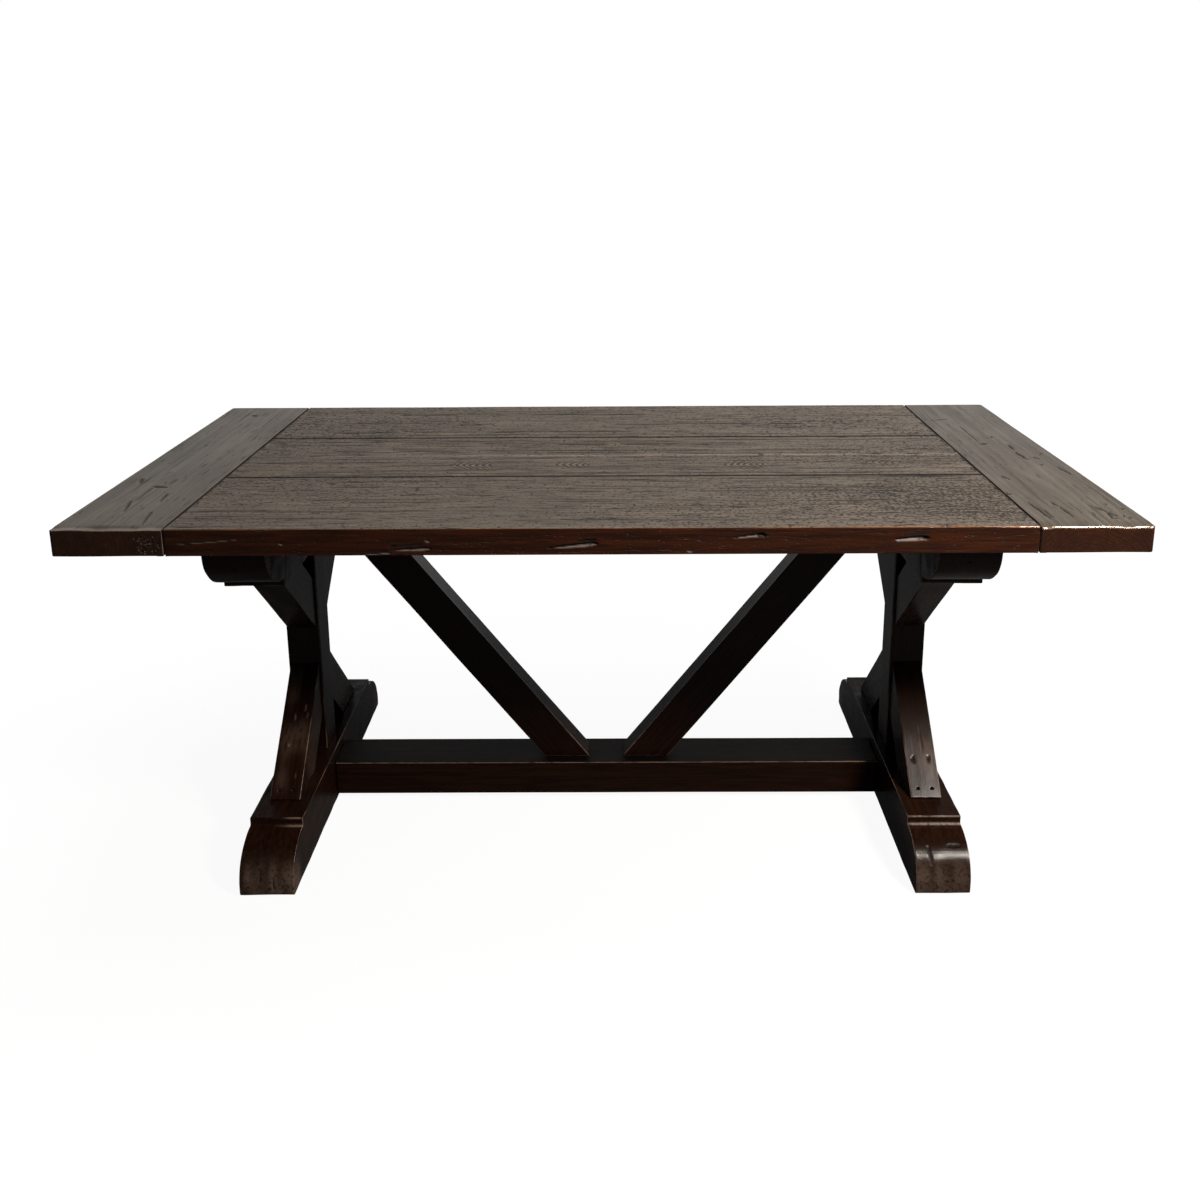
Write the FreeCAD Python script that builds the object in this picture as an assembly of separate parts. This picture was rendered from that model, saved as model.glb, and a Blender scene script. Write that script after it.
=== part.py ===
# Trestle dining table: a boarded top with breadboard ends on two braced trestles,
# which a low stretcher and two slanting struts tie together.
# Millimetres. +X runs along the table to the right, +Y to the rear, +Z up.
# The origin is on the floor under the middle of the top.

import FreeCAD, Part
import math
import os

Vector = FreeCAD.Vector

# Whole table
table_length = 1860.0
table_depth = 990.0
table_height = 762.0

# Room left in every joint
fit_clearance = 0.3  # between the cheeks of a tenon, tongue or spline and its slot
hole_clearance = 0.2  # round a screw, bolt, dowel or peg, on the radius
cut_overrun = 5.0  # how far a cut runs past the face where it starts

# Top boards and breadboard ends
top_thickness = 48.0
top_edge_radius = 5.0
breadboard_width = 192.0
middle_board_width = 163.0
board_chamfer = 2.0  # eased upper edge beside each joint
tongue_thickness = 14.0
tongue_length = 30.0
tongue_setback = 40.0  # keeps the tongue out of sight at the front and rear edges
spline_thickness = 9.0
spline_depth = 14.0  # into each of the two boards
spline_setback = 60.0  # from the ends of the boards
peg_radius = 5.0
peg_cover = 10.0  # wood left above a peg

# Feet and bearers, the lower and upper beams of a trestle
trestle_setback = 287.0  # from the end of the top to the middle of a trestle
foot_width = 106.0
foot_height = 114.0
foot_setback = 87.0  # from the front edge of the top to the foot's end
foot_nose = 90.0  # length of the rounded end
foot_step = 16.0  # height of the step behind the rounded end
foot_toe = 20.0  # upright face below the rounded end
bearer_width = 114.0
bearer_height = 116.0
bearer_setback = 62.0  # from the front edge of the top to the bearer's end
bearer_nose = 103.0
bearer_step = 16.0
bearer_toe = 18.0
beam_edge_radius = 3.0

# Posts
post_width = 71.0
post_depth = 80.0
post_edge_radius = 3.0
post_tenon_width = 32.0
post_tenon_depth = 52.0
post_tenon_length = 40.0  # into the bearer
post_tenon_cover = 16.5  # wood left between the tenon in the foot and the bolt below it

# Braces
brace_width = 62.0
brace_depth = 84.0  # square to the slanting faces
brace_foot_setback = 61.0  # from the step of the foot to the toe of a lower brace
brace_bearer_setback = 48.0  # from the step of the bearer to the toe of an upper brace
brace_band = 78.0  # bare post between the lower and the upper braces
brace_edge_radius = 2.5
brace_screw_rise = 22.0  # from the toe, along the outer face
brace_screw_spacing = 28.0
brace_screw_recess = 6.0
brace_screw_radius = 2.5
brace_screw_length = 62.0
brace_screw_head_radius = 4.0
brace_screw_head_height = 3.0
brace_dowel_radius = 6.0
brace_dowel_length = 44.0

# Stretcher
stretcher_width = 110.0
stretcher_height = 75.0
stretcher_lift = 13.0  # clear of the floor
stretcher_edge_radius = 3.0
stretcher_tenon_length = 20.0
stretcher_shoulder = 14.0

# Bolts that tie the stretcher to the feet
bolt_radius = 5.0
bolt_head_radius = 9.0  # to the corners of the hexagon
bolt_head_height = 6.0
bolt_recess = 14.0  # depth of the sunk hole in the foot's outer face
bolt_tail = 8.0  # past the barrel nut
washer_radius = 12.0
washer_thickness = 2.0
nut_radius = 8.0
nut_length = 36.0
nut_reach = 45.0  # from the foot's inner face to the nut's middle

# Struts
strut_width = 58.0
strut_base = 99.0  # length of the level cut on the stretcher
strut_gap = 70.0  # between the two struts on the stretcher
strut_drop = 59.0  # height of the upright cut against the bearer
strut_edge_radius = 2.5
strut_screw_share = 0.6  # place of the screws along the level cut
strut_screw_spacing = 28.0
strut_screw_bite = 40.0  # into the strut
strut_screw_recess = 15.0
strut_dowel_radius = 5.0
strut_dowel_length = 36.0
strut_dowel_spacing = 28.0

# Screws from the bearers into the boards, and from the stretcher into the struts
screw_radius = 3.0
screw_head_radius = 7.0
screw_head_height = 4.0
screw_grip = 45.0  # wood between the head and the top
screw_cover = 14.0  # wood left above the point

# Worked out from the sizes above
half_turn = 180.0
edge_limit_share = 0.4  # most that a rounded edge may take of the thinner wall
hexagon_sides = 6
origin = Vector(0, 0, 0)
along_x = Vector(1, 0, 0)
along_y = Vector(0, 1, 0)
along_z = Vector(0, 0, 1)
top_bottom = table_height - top_thickness
top_middle = table_height - top_thickness / 2
board_end = table_length / 2 - breadboard_width
tongue_half_span = table_depth / 2 - tongue_setback
bearer_bottom = top_bottom - bearer_height
trestle_middle = table_length / 2 - trestle_setback
foot_inner = trestle_middle - foot_width / 2
foot_outer = trestle_middle + foot_width / 2
bearer_inner = trestle_middle - bearer_width / 2
foot_half = table_depth / 2 - foot_setback
bearer_half = table_depth / 2 - bearer_setback
stretcher_top = stretcher_lift + stretcher_height
stretcher_middle = stretcher_lift + stretcher_height / 2
brace_foot_reach = foot_half - foot_nose - brace_foot_setback
brace_bearer_reach = bearer_half - bearer_nose - brace_bearer_setback
brace_rise = (bearer_bottom - foot_height - brace_band) / 2
strut_start = strut_gap / 2 + strut_base
strut_slope = math.atan2(top_bottom - strut_drop - stretcher_top, bearer_inner - strut_start)
foot_tenon_length = foot_height - stretcher_middle - bolt_radius - post_tenon_cover
bolt_seat = foot_outer - bolt_recess
nut_middle = foot_inner - nut_reach

sides = {"left": -1, "right": 1}
faces = {"front": -1, "rear": 1}
levels = {"lower": brace_foot_reach, "upper": brace_bearer_reach}


def block(low, high):
    return Part.makeBox(high.x - low.x, high.y - low.y, high.z - low.z, low)


def rod(radius, start, end):
    return Part.makeCylinder(radius, start.distanceToPoint(end), start, end - start)


def runs_along(edge, direction):
    span = edge.lastVertex().Point - edge.firstVertex().Point
    return span.cross(direction).Length < fit_clearance and span.Length > fit_clearance


def eased(solid, radius, wall, chosen):
    edges = [edge for edge in solid.Edges if chosen(edge)]
    return solid.makeFillet(min(radius, wall * edge_limit_share), edges)


def cut_by(solid, tools):
    return solid.cut(Part.makeCompound(tools)) if tools else solid


def on_side(shape, side):
    return shape if side > 0 else shape.mirror(origin, along_x)


def on_face(shape, face):
    return shape if face > 0 else shape.mirror(origin, along_y)


# A sunk screw as solid pieces (head and shank) and the hole that it needs.
# It starts at a point on the face and runs along a unit direction.
def sunk_screw(face_point, direction, recess, head_radius, head_height, radius, length):
    head_start = face_point + direction * recess
    shank_start = head_start + direction * head_height
    point = shank_start + direction * length
    head = rod(head_radius, head_start, shank_start)
    return head.fuse(rod(radius, shank_start, point)).removeSplitter()


def sunk_hole(face_point, direction, recess, head_radius, head_height, radius, length):
    mouth = face_point - direction * cut_overrun
    shank_start = face_point + direction * (recess + head_height)
    point = shank_start + direction * (length + fit_clearance)
    wide = rod(head_radius + hole_clearance, mouth, shank_start)
    return wide.fuse(rod(radius + hole_clearance, shank_start, point))


# Top screws, up through each bearer into the boards
def top_screw_places():
    outer = brace_bearer_reach + brace_bearer_setback / 2
    inner = middle_board_width / 2
    return [(side * trestle_middle, face * reach)
            for side in sides.values() for face in faces.values() for reach in (inner, outer)]


def top_screws(make):
    recess = bearer_height - screw_grip - screw_head_height
    length = screw_grip + top_thickness - screw_cover
    return [make(Vector(x, y, bearer_bottom), along_z, recess, screw_head_radius,
                 screw_head_height, screw_radius, length) for x, y in top_screw_places()]


# Pegs through the boards' tongues, driven into the breadboard ends from below
def board_rows():
    half = table_depth / 2
    edges = [-half, -middle_board_width, 0, middle_board_width, half]
    names = ["plank_front", "plank_middle_front", "plank_middle_back", "plank_back"]
    return dict(zip(names, zip(edges, edges[1:])))


def peg_places():
    return [(side * (board_end + tongue_length / 2), (near + far) / 2)
            for side in sides.values() for near, far in board_rows().values()]


def pegs():
    top = table_height - peg_cover
    return [rod(peg_radius, Vector(x, y, top_bottom), Vector(x, y, top)) for x, y in peg_places()]


def peg_holes():
    low = top_bottom - cut_overrun
    high = table_height - peg_cover + fit_clearance
    radius = peg_radius + hole_clearance
    return [rod(radius, Vector(x, y, low), Vector(x, y, high)) for x, y in peg_places()]


# Splines that line up neighbouring boards
def spline(y, clearance):
    half_length = board_end - spline_setback + clearance
    half_depth = spline_depth + clearance
    half_thickness = spline_thickness / 2 + clearance
    return block(Vector(-half_length, y - half_depth, top_middle - half_thickness),
                 Vector(half_length, y + half_depth, top_middle + half_thickness))


def spline_rows():
    return [-middle_board_width, 0, middle_board_width]


def tongue(near, far, clearance):
    half_length = board_end + tongue_length + clearance
    half_thickness = tongue_thickness / 2 + clearance
    low = max(near, -tongue_half_span) - clearance
    high = min(far, tongue_half_span) + clearance
    return block(Vector(-half_length, low, top_middle - half_thickness),
                 Vector(half_length, high, top_middle + half_thickness))


def plank(near, far):
    board = block(Vector(-board_end, near, top_bottom), Vector(board_end, far, table_height))

    def outer_edge(edge):
        return runs_along(edge, along_x) and abs(edge.CenterOfMass.y) > tongue_half_span

    def joint_edge(edge):
        middle = edge.CenterOfMass
        return middle.z > table_height - fit_clearance and not abs(middle.y) > tongue_half_span

    joint_edges = [edge for edge in board.Edges if joint_edge(edge)]
    board = board.makeChamfer(board_chamfer, joint_edges)
    if max(abs(near), abs(far)) > tongue_half_span:
        board = eased(board, top_edge_radius, top_thickness, outer_edge)
    board = board.fuse(tongue(near, far, 0))
    slots = [spline(y, fit_clearance) for y in spline_rows()]
    return cut_by(board, slots + peg_holes() + top_screws(sunk_hole)).removeSplitter()


def breadboard(side):
    half = table_depth / 2
    board = block(Vector(board_end, -half, top_bottom), Vector(table_length / 2, half, table_height))

    def outer_edge(edge):
        return edge.CenterOfMass.x > board_end + fit_clearance

    def joint_edge(edge):
        middle = edge.CenterOfMass
        return middle.z > table_height - fit_clearance and middle.x < board_end + fit_clearance

    board = board.makeChamfer(board_chamfer, [edge for edge in board.Edges if joint_edge(edge)])
    board = eased(board, top_edge_radius, top_thickness, outer_edge)
    groove = tongue(-half, half, fit_clearance)
    return cut_by(on_side(board, side), [groove] + peg_holes())


# The rounded end of a beam: two arcs that meet at half a right angle, upright at the toe and
# level at the top, so that they keep smooth whatever the length and the rise are.
def nose_arcs(start, nose, rise):
    bend = math.radians(half_turn) / 4
    sine, cosine = math.sin(bend), math.cos(bend)
    spread = sine + cosine - 1
    lower_radius = (rise * cosine - nose * (1 - sine)) / spread
    upper_radius = (nose * sine - rise * (1 - cosine)) / spread

    def lower(turn):
        return start + Vector(0, math.cos(turn) - 1, math.sin(turn)) * lower_radius

    def upper(turn):
        return start + Vector(0, -nose, rise) + Vector(0, math.cos(turn), math.sin(turn) - 1) * upper_radius

    return [Part.Arc(start, lower(bend / 2), lower(bend)).toShape(),
            Part.Arc(lower(bend), upper(3 * bend / 2), upper(2 * bend)).toShape()]


# A foot lies on its flat side with its rounded ends and steps upwards. A bearer is turned over.
def beam(width, height, half, nose, step, toe):
    rise = height - step - toe
    floor_end = Vector(-width / 2, half, 0)
    toe_end = floor_end + Vector(0, 0, toe)
    nose_end = toe_end + Vector(0, -nose, rise)
    flat_end = nose_end + Vector(0, 0, step)
    front = [Part.LineSegment(floor_end, toe_end).toShape()] + nose_arcs(toe_end, nose, rise)
    front.append(Part.LineSegment(nose_end, flat_end).toShape())
    back = [on_face(edge, -1) for edge in front]
    flat = Part.LineSegment(flat_end, Vector(flat_end.x, -flat_end.y, flat_end.z)).toShape()
    sole = Part.LineSegment(floor_end, Vector(floor_end.x, -floor_end.y, 0)).toShape()
    outline = Part.Wire(Part.__sortEdges__(front + back + [flat, sole]))
    solid = Part.Face(outline).extrude(Vector(width, 0, 0))

    def long_edge(edge):
        on_cheek = abs(abs(edge.CenterOfMass.x) - width / 2) < fit_clearance
        return on_cheek and edge.CenterOfMass.z > toe and not runs_along(edge, along_z)

    return eased(solid, beam_edge_radius, width, long_edge)


def foot(side):
    solid = beam(foot_width, foot_height, foot_half, foot_nose, foot_step, foot_toe)
    solid.translate(Vector(trestle_middle, 0, 0))
    tools = [foot_tenon(fit_clearance), stretcher_tenon(fit_clearance), bolt_hole()]
    tools += brace_holes("lower")
    return on_side(cut_by(solid, tools), side)


def bearer(side):
    solid = beam(bearer_width, bearer_height, bearer_half, bearer_nose, bearer_step, bearer_toe)
    solid.rotate(origin, along_x, half_turn)
    solid.translate(Vector(trestle_middle, 0, top_bottom))
    tools = [bearer_tenon(fit_clearance)] + brace_holes("upper")
    tools += top_screws(sunk_hole) + strut_dowels(hole_clearance)
    return on_side(cut_by(solid, tools), side)


def post_tenon(low, high, clearance):
    half_width = post_tenon_width / 2 + clearance
    half_depth = post_tenon_depth / 2 + clearance
    return block(Vector(trestle_middle - half_width, -half_depth, low),
                 Vector(trestle_middle + half_width, half_depth, high))


def foot_tenon(clearance):
    return post_tenon(foot_height - foot_tenon_length - clearance, foot_height, clearance)


def bearer_tenon(clearance):
    return post_tenon(bearer_bottom, bearer_bottom + post_tenon_length + clearance, clearance)


def post(side):
    half_width, half_depth = post_width / 2, post_depth / 2
    solid = block(Vector(trestle_middle - half_width, -half_depth, foot_height),
                  Vector(trestle_middle + half_width, half_depth, bearer_bottom))
    solid = eased(solid, post_edge_radius, post_width, lambda edge: runs_along(edge, along_z))
    solid = solid.fuse(foot_tenon(0)).fuse(bearer_tenon(0))
    holes = [brace_dowel(level, face, hole_clearance) for level in levels for face in faces.values()]
    return on_side(cut_by(solid.removeSplitter(), holes), side)


# Braces are made against a corner: +Y away from the post's face, +Z away from the seat.
def brace_slope(reach):
    return math.atan2(brace_rise, reach - post_depth / 2)


def brace_in_corner(reach):
    run = reach - post_depth / 2
    slope = brace_slope(reach)
    length = math.hypot(run, brace_rise)
    bar = block(Vector(-brace_width / 2, -brace_depth, 0),
                Vector(brace_width / 2, length + brace_depth, brace_depth))
    bar = eased(bar, brace_edge_radius, brace_width, lambda edge: runs_along(edge, along_y))
    bar.rotate(origin, along_x, half_turn - math.degrees(slope))
    bar.translate(Vector(0, run, 0))
    return bar.common(block(Vector(-brace_width, 0, 0), Vector(brace_width, run, brace_rise)))


def brace_screws_in_corner(reach, make):
    slope = brace_slope(reach)
    toe = reach - post_depth / 2
    inward = Vector(0, -math.sin(slope), -math.cos(slope))
    starts = [Vector(way * brace_screw_spacing / 2, toe - brace_screw_rise * math.cos(slope),
                     brace_screw_rise * math.sin(slope)) for way in sides.values()]
    return [make(start, inward, brace_screw_recess, brace_screw_head_radius, brace_screw_head_height,
                 brace_screw_radius, brace_screw_length) for start in starts]


# Moves a shape from the corner to the right-hand trestle, front or rear, lower or upper
def from_corner(shape, level, face):
    placed = shape.copy()
    if level == "upper":
        placed = placed.mirror(origin, along_z)
    seat = foot_height if level == "lower" else bearer_bottom
    placed.translate(Vector(trestle_middle, post_depth / 2, seat))
    return on_face(placed, face)


def brace_holes(level):
    return [from_corner(hole, level, face) for face in faces.values()
            for hole in brace_screws_in_corner(levels[level], sunk_hole)]


def brace_dowel(level, face, clearance):
    slope = brace_slope(levels[level])
    height = brace_rise - brace_depth / math.cos(slope) / 2
    half = brace_dowel_length / 2 + clearance
    dowel = rod(brace_dowel_radius + clearance, Vector(0, -half, height), Vector(0, half, height))
    return from_corner(dowel, level, face)


def brace(level, side, face):
    solid = from_corner(brace_in_corner(levels[level]), level, face)
    tools = brace_holes(level) + [brace_dowel(level, face, hole_clearance)]
    return on_side(cut_by(solid, tools), side)


# Stretcher, with a stub tenon in each foot and a bolt through it
def stretcher_tenon(clearance):
    half_width = stretcher_width / 2 - stretcher_shoulder + clearance
    half_height = stretcher_height / 2 - stretcher_shoulder + clearance
    reach = foot_inner + stretcher_tenon_length + clearance
    return block(Vector(foot_inner, -half_width, stretcher_middle - half_height),
                 Vector(reach, half_width, stretcher_middle + half_height))


def on_bolt_line(x):
    return Vector(x, 0, stretcher_middle)


def bolt():
    seat = on_bolt_line(bolt_seat + washer_thickness)
    shank = rod(bolt_radius, on_bolt_line(nut_middle - nut_radius - bolt_tail), seat)
    turns = [2 * math.pi * index / hexagon_sides for index in range(hexagon_sides + 1)]
    corners = [seat + Vector(0, math.cos(turn), math.sin(turn)) * bolt_head_radius for turn in turns]
    head = Part.Face(Part.makePolygon(corners)).extrude(along_x * bolt_head_height)
    return shank.fuse(head)


def bolt_hole():
    mouth = on_bolt_line(foot_outer + cut_overrun)
    wide = rod(washer_radius + hole_clearance, on_bolt_line(bolt_seat), mouth)
    tail = on_bolt_line(nut_middle - nut_radius - bolt_tail - fit_clearance)
    return wide.fuse(rod(bolt_radius + hole_clearance, tail, mouth))


def washer():
    ring = rod(washer_radius, on_bolt_line(bolt_seat), on_bolt_line(bolt_seat + washer_thickness))
    return ring.cut(bolt_shank_space())


def bolt_shank_space():
    return rod(bolt_radius + hole_clearance, on_bolt_line(0), on_bolt_line(foot_outer + cut_overrun))


def barrel_nut():
    low = Vector(nut_middle, 0, stretcher_middle - nut_length / 2)
    return rod(nut_radius, low, low + along_z * nut_length).cut(bolt_shank_space())


def barrel_hole():
    low = Vector(nut_middle, 0, stretcher_lift - cut_overrun)
    high = Vector(nut_middle, 0, stretcher_middle + nut_length / 2 + fit_clearance)
    return rod(nut_radius + hole_clearance, low, high)


def both_sides(shapes):
    return [on_side(shape, side) for side in sides.values() for shape in shapes]


def stretcher():
    half_width = stretcher_width / 2
    solid = block(Vector(-foot_inner, -half_width, stretcher_lift),
                  Vector(foot_inner, half_width, stretcher_top))
    solid = eased(solid, stretcher_edge_radius, stretcher_height, lambda edge: runs_along(edge, along_x))
    for tenon in both_sides([stretcher_tenon(0)]):
        solid = solid.fuse(tenon)
    holes = [bolt_hole(), barrel_hole()] + strut_screws(sunk_hole)
    return cut_by(solid.removeSplitter(), both_sides(holes))


# Struts, from the middle of the stretcher to the corner between the bearer and the top
def strut(side):
    start = Vector(strut_start, 0, stretcher_top)
    length = math.hypot(bearer_inner - strut_start, top_bottom - stretcher_top)
    depth = strut_base * math.sin(strut_slope)
    bar = block(Vector(-strut_base, -strut_width / 2, 0),
                Vector(length + strut_base, strut_width / 2, depth))
    bar = eased(bar, strut_edge_radius, strut_width, lambda edge: runs_along(edge, along_x))
    bar.rotate(origin, along_y, -math.degrees(strut_slope))
    bar.translate(start)
    room = block(Vector(0, -strut_width, stretcher_top), Vector(bearer_inner, strut_width, top_bottom))
    tools = strut_screws(sunk_hole) + strut_dowels(hole_clearance)
    return on_side(cut_by(bar.common(room), tools), side)


def strut_screws(make):
    x = strut_gap / 2 + strut_base * strut_screw_share
    length = stretcher_height - strut_screw_recess - screw_head_height + strut_screw_bite
    starts = [Vector(x, way * strut_screw_spacing / 2, stretcher_lift) for way in faces.values()]
    return [make(start, along_z, strut_screw_recess, screw_head_radius, screw_head_height,
                 screw_radius, length) for start in starts]


def strut_dowels(clearance):
    half = strut_dowel_length / 2 + clearance
    z = top_bottom - strut_drop / 2
    rows = [way * strut_dowel_spacing / 2 for way in faces.values()]
    return [rod(strut_dowel_radius + clearance, Vector(bearer_inner - half, y, z),
                Vector(bearer_inner + half, y, z)) for y in rows]


def table_parts():
    parts = {name: plank(near, far) for name, (near, far) in board_rows().items()}
    parts["plank_splines"] = Part.makeCompound([spline(y, 0) for y in spline_rows()])
    parts["breadboard_pegs"] = Part.makeCompound(pegs())
    parts["top_screws"] = Part.makeCompound(top_screws(sunk_screw))
    for name, side in sides.items():
        parts["breadboard_" + name] = breadboard(side)
        parts["foot_" + name] = foot(side)
        parts["post_" + name] = post(side)
        parts["bearer_" + name] = bearer(side)
        parts["strut_" + name] = strut(side)
        for level in levels:
            for face_name, face in faces.items():
                parts["_".join(["brace", name, face_name, level])] = brace(level, side, face)
    parts["stretcher"] = stretcher()
    spots = [(level, face) for level in levels for face in faces.values()]
    screws = [from_corner(screw, level, face) for level, face in spots
              for screw in brace_screws_in_corner(levels[level], sunk_screw)]
    dowels = [brace_dowel(level, face, 0) for level, face in spots]
    parts["brace_screws"] = Part.makeCompound(both_sides(screws))
    parts["brace_dowels"] = Part.makeCompound(both_sides(dowels))
    parts["strut_screws"] = Part.makeCompound(both_sides(strut_screws(sunk_screw)))
    parts["strut_dowels"] = Part.makeCompound(both_sides(strut_dowels(0)))
    parts["stretcher_bolts"] = Part.makeCompound(both_sides([bolt()]))
    parts["stretcher_washers"] = Part.makeCompound(both_sides([washer()]))
    parts["stretcher_nuts"] = Part.makeCompound(both_sides([barrel_nut()]))
    return parts


os.makedirs("parts", exist_ok=True)
for node, shape in table_parts().items():
    shape.exportStep(os.path.join("parts", node + ".step"))
    print(node, len(shape.Solids), "solids, valid", shape.isValid(), "volume", round(shape.Volume))
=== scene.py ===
import bpy
import itertools
import math
import numpy as np
from mathutils import Matrix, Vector
from types import SimpleNamespace


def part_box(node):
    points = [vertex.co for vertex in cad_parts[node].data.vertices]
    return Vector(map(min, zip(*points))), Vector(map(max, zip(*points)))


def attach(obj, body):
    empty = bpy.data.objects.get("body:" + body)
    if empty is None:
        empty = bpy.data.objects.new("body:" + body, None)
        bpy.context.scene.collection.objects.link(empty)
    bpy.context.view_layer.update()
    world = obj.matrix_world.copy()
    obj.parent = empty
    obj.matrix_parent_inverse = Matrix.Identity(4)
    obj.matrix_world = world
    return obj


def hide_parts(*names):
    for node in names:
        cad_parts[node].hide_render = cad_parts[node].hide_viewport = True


# Trestle dining table: rough-sawn boards and breadboard ends in a dark stain, on a nearly black base.
# Every visible wooden node gets a worn mesh of its own; pegs, dowels, screws and bolts keep their shape.
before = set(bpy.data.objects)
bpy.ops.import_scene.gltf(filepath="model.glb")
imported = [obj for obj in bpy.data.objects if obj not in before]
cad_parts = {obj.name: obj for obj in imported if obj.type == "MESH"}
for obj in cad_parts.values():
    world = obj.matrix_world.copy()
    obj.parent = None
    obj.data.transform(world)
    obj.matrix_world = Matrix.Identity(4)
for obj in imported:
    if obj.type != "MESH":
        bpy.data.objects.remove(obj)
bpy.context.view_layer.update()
mm = 0.001  # the frame is in metres, the sizes below are in millimetres
grainStride = 3.7  # metres between the logs that two pieces are cut from, so that no figure repeats
print("frame loaded with", len(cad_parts), "nodes")


def cadCorners(node):
    return [np.array(corner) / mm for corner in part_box(node)]


# Sizes that the frame gives
topLow, topHigh = cadCorners("breadboard_right")
boardEnd = topLow[0]
middleBoard = cadCorners("plank_middle_back")[1][1]
footLow, footHigh = cadCorners("foot_right")
bearerLow = cadCorners("bearer_right")[0]
postHigh = cadCorners("post_right")[1]
sides = {"left": -1, "right": 1}
faces = {"front": -1, "rear": 1}
up = (0, 0, 1)
frontward = (0, -1, 0)
# Each kind of piece starts its random draws at a number of its own
seeds = {
    "plank": 0, "breadboard": 20, "foot": 30, "bearer": 34,
    "post": 40, "stretcher": 44, "brace": 50, "strut": 60,
}


# Shaping tools

latticeSeed, latticeSize = 11, 64
lattice = np.random.default_rng(latticeSeed).uniform(-1, 1, (latticeSize,) * 3)
latticeStride = np.array([7.3, 13.7, 29.1])  # how far apart two seeds read the lattice


def bumps(points, size, seed=0):  # smooth bumps of about that size, from -1 to 1
    scaled = points / np.array(size, float) + seed * latticeStride
    cell = np.floor(scaled).astype(int)
    blend = scaled - cell
    blend = blend * blend * (3 - 2 * blend)
    total = np.zeros(len(points))
    for corner in itertools.product((0, 1), repeat=3):
        weight = np.prod(np.where(corner, blend, 1 - blend), axis=1)
        total += weight * lattice[tuple((cell + corner).T % latticeSize)]
    return total


def unit(direction):
    direction = np.array(direction, float)
    return direction / np.linalg.norm(direction)


def easeBetween(low, high, values):
    share = np.clip((values - low) / (high - low), 0, 1)
    return share * share * (3 - 2 * share)


def stations(start, end, step, fineSpots=()):  # fineSpots: (middle, reach, step) where the mesh is closer
    places = np.linspace(start, end, max(2, round((end - start) / step) + 1))
    for middle, reach, fineStep in fineSpots:
        inner = places[(np.abs(places - middle) > reach + fineStep / 2)]
        fine = np.arange(middle - reach, middle + reach + fineStep / 2, fineStep)
        places = np.sort(np.concatenate([inner, fine[(fine > start) & (fine < end)]]))
    return places


cornerPoints = 5  # points on each rounded corner of an outline
longRun = 1.5  # runs longer than this many mesh steps are divided


def arcPoints(centre, radius, fromAngle, toAngle, steps):
    turns = np.radians(np.linspace(fromAngle, toAngle, steps + 1))
    return np.array(centre) + np.c_[np.cos(turns), np.sin(turns)] * radius


def roundedPath(points, radii, step, fineSpots=()):
    # straight runs through the points, each inner corner turned by an arc of its radius
    points = [np.array(point, float) for point in points]
    path = [points[0]]
    for before, corner, after, radius in zip(points, points[1:], points[2:], radii):
        inward, outward = unit(before - corner), unit(after - corner)
        halfAngle = math.acos(np.clip(inward @ outward, -1, 1)) / 2
        setback = radius / math.tan(halfAngle)
        centre = corner + unit(inward + outward) * radius / math.sin(halfAngle)
        start, end = corner + inward * setback - centre, corner + outward * setback - centre
        for share in np.linspace(0, 1, cornerPoints):
            spoke = start * (1 - share) + end * share
            path.append(centre + unit(spoke) * radius)
    path.append(points[-1])
    dense = [path[0][None]]
    for start, end in zip(path, path[1:]):
        length = np.linalg.norm(end - start)
        if length > step * longRun:
            places = stations(0, length, step, fineSpots)[1:, None] / length
            dense.append(start + (end - start) * places)
        else:
            dense.append(end[None])
    return np.vstack(dense)


shareDigits = 4  # points whose shares of an edge agree to this many digits are one point


def pairChains(lower, upper):  # gives both long edges of a slab the same number of points
    def shares(chain):
        lengths = np.linalg.norm(np.diff(chain, axis=0), axis=1)
        return np.concatenate([[0], np.cumsum(lengths) / lengths.sum()])

    lowerShares, upperShares = shares(lower), shares(upper)
    merged = np.unique(np.round(np.concatenate([lowerShares, upperShares]), shareDigits))

    def resampled(own, chain):
        return np.c_[np.interp(merged, own, chain[:, 0]), np.interp(merged, own, chain[:, 1])]

    return resampled(lowerShares, lower), resampled(upperShares, upper)


def boardEdges(start, end, near, far, radii, run, step, fineNear=(), fineFar=()):
    # both long edges of a squared board, each going round its corners and a short run up the ends
    lower = [(start, near + run), (start, near), (end, near), (end, near + run)]
    upper = [(start, far - run), (start, far), (end, far), (end, far - run)]
    return pairChains(roundedPath(lower, radii, step, fineNear), roundedPath(upper, radii, step, fineFar))


def gridFaces(grid):
    return np.stack([grid[:-1, :-1], grid[1:, :-1], grid[1:, 1:], grid[:-1, 1:]], -1).reshape(-1, 4)


besideArris = 0.018  # as a share of the slab's width


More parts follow.
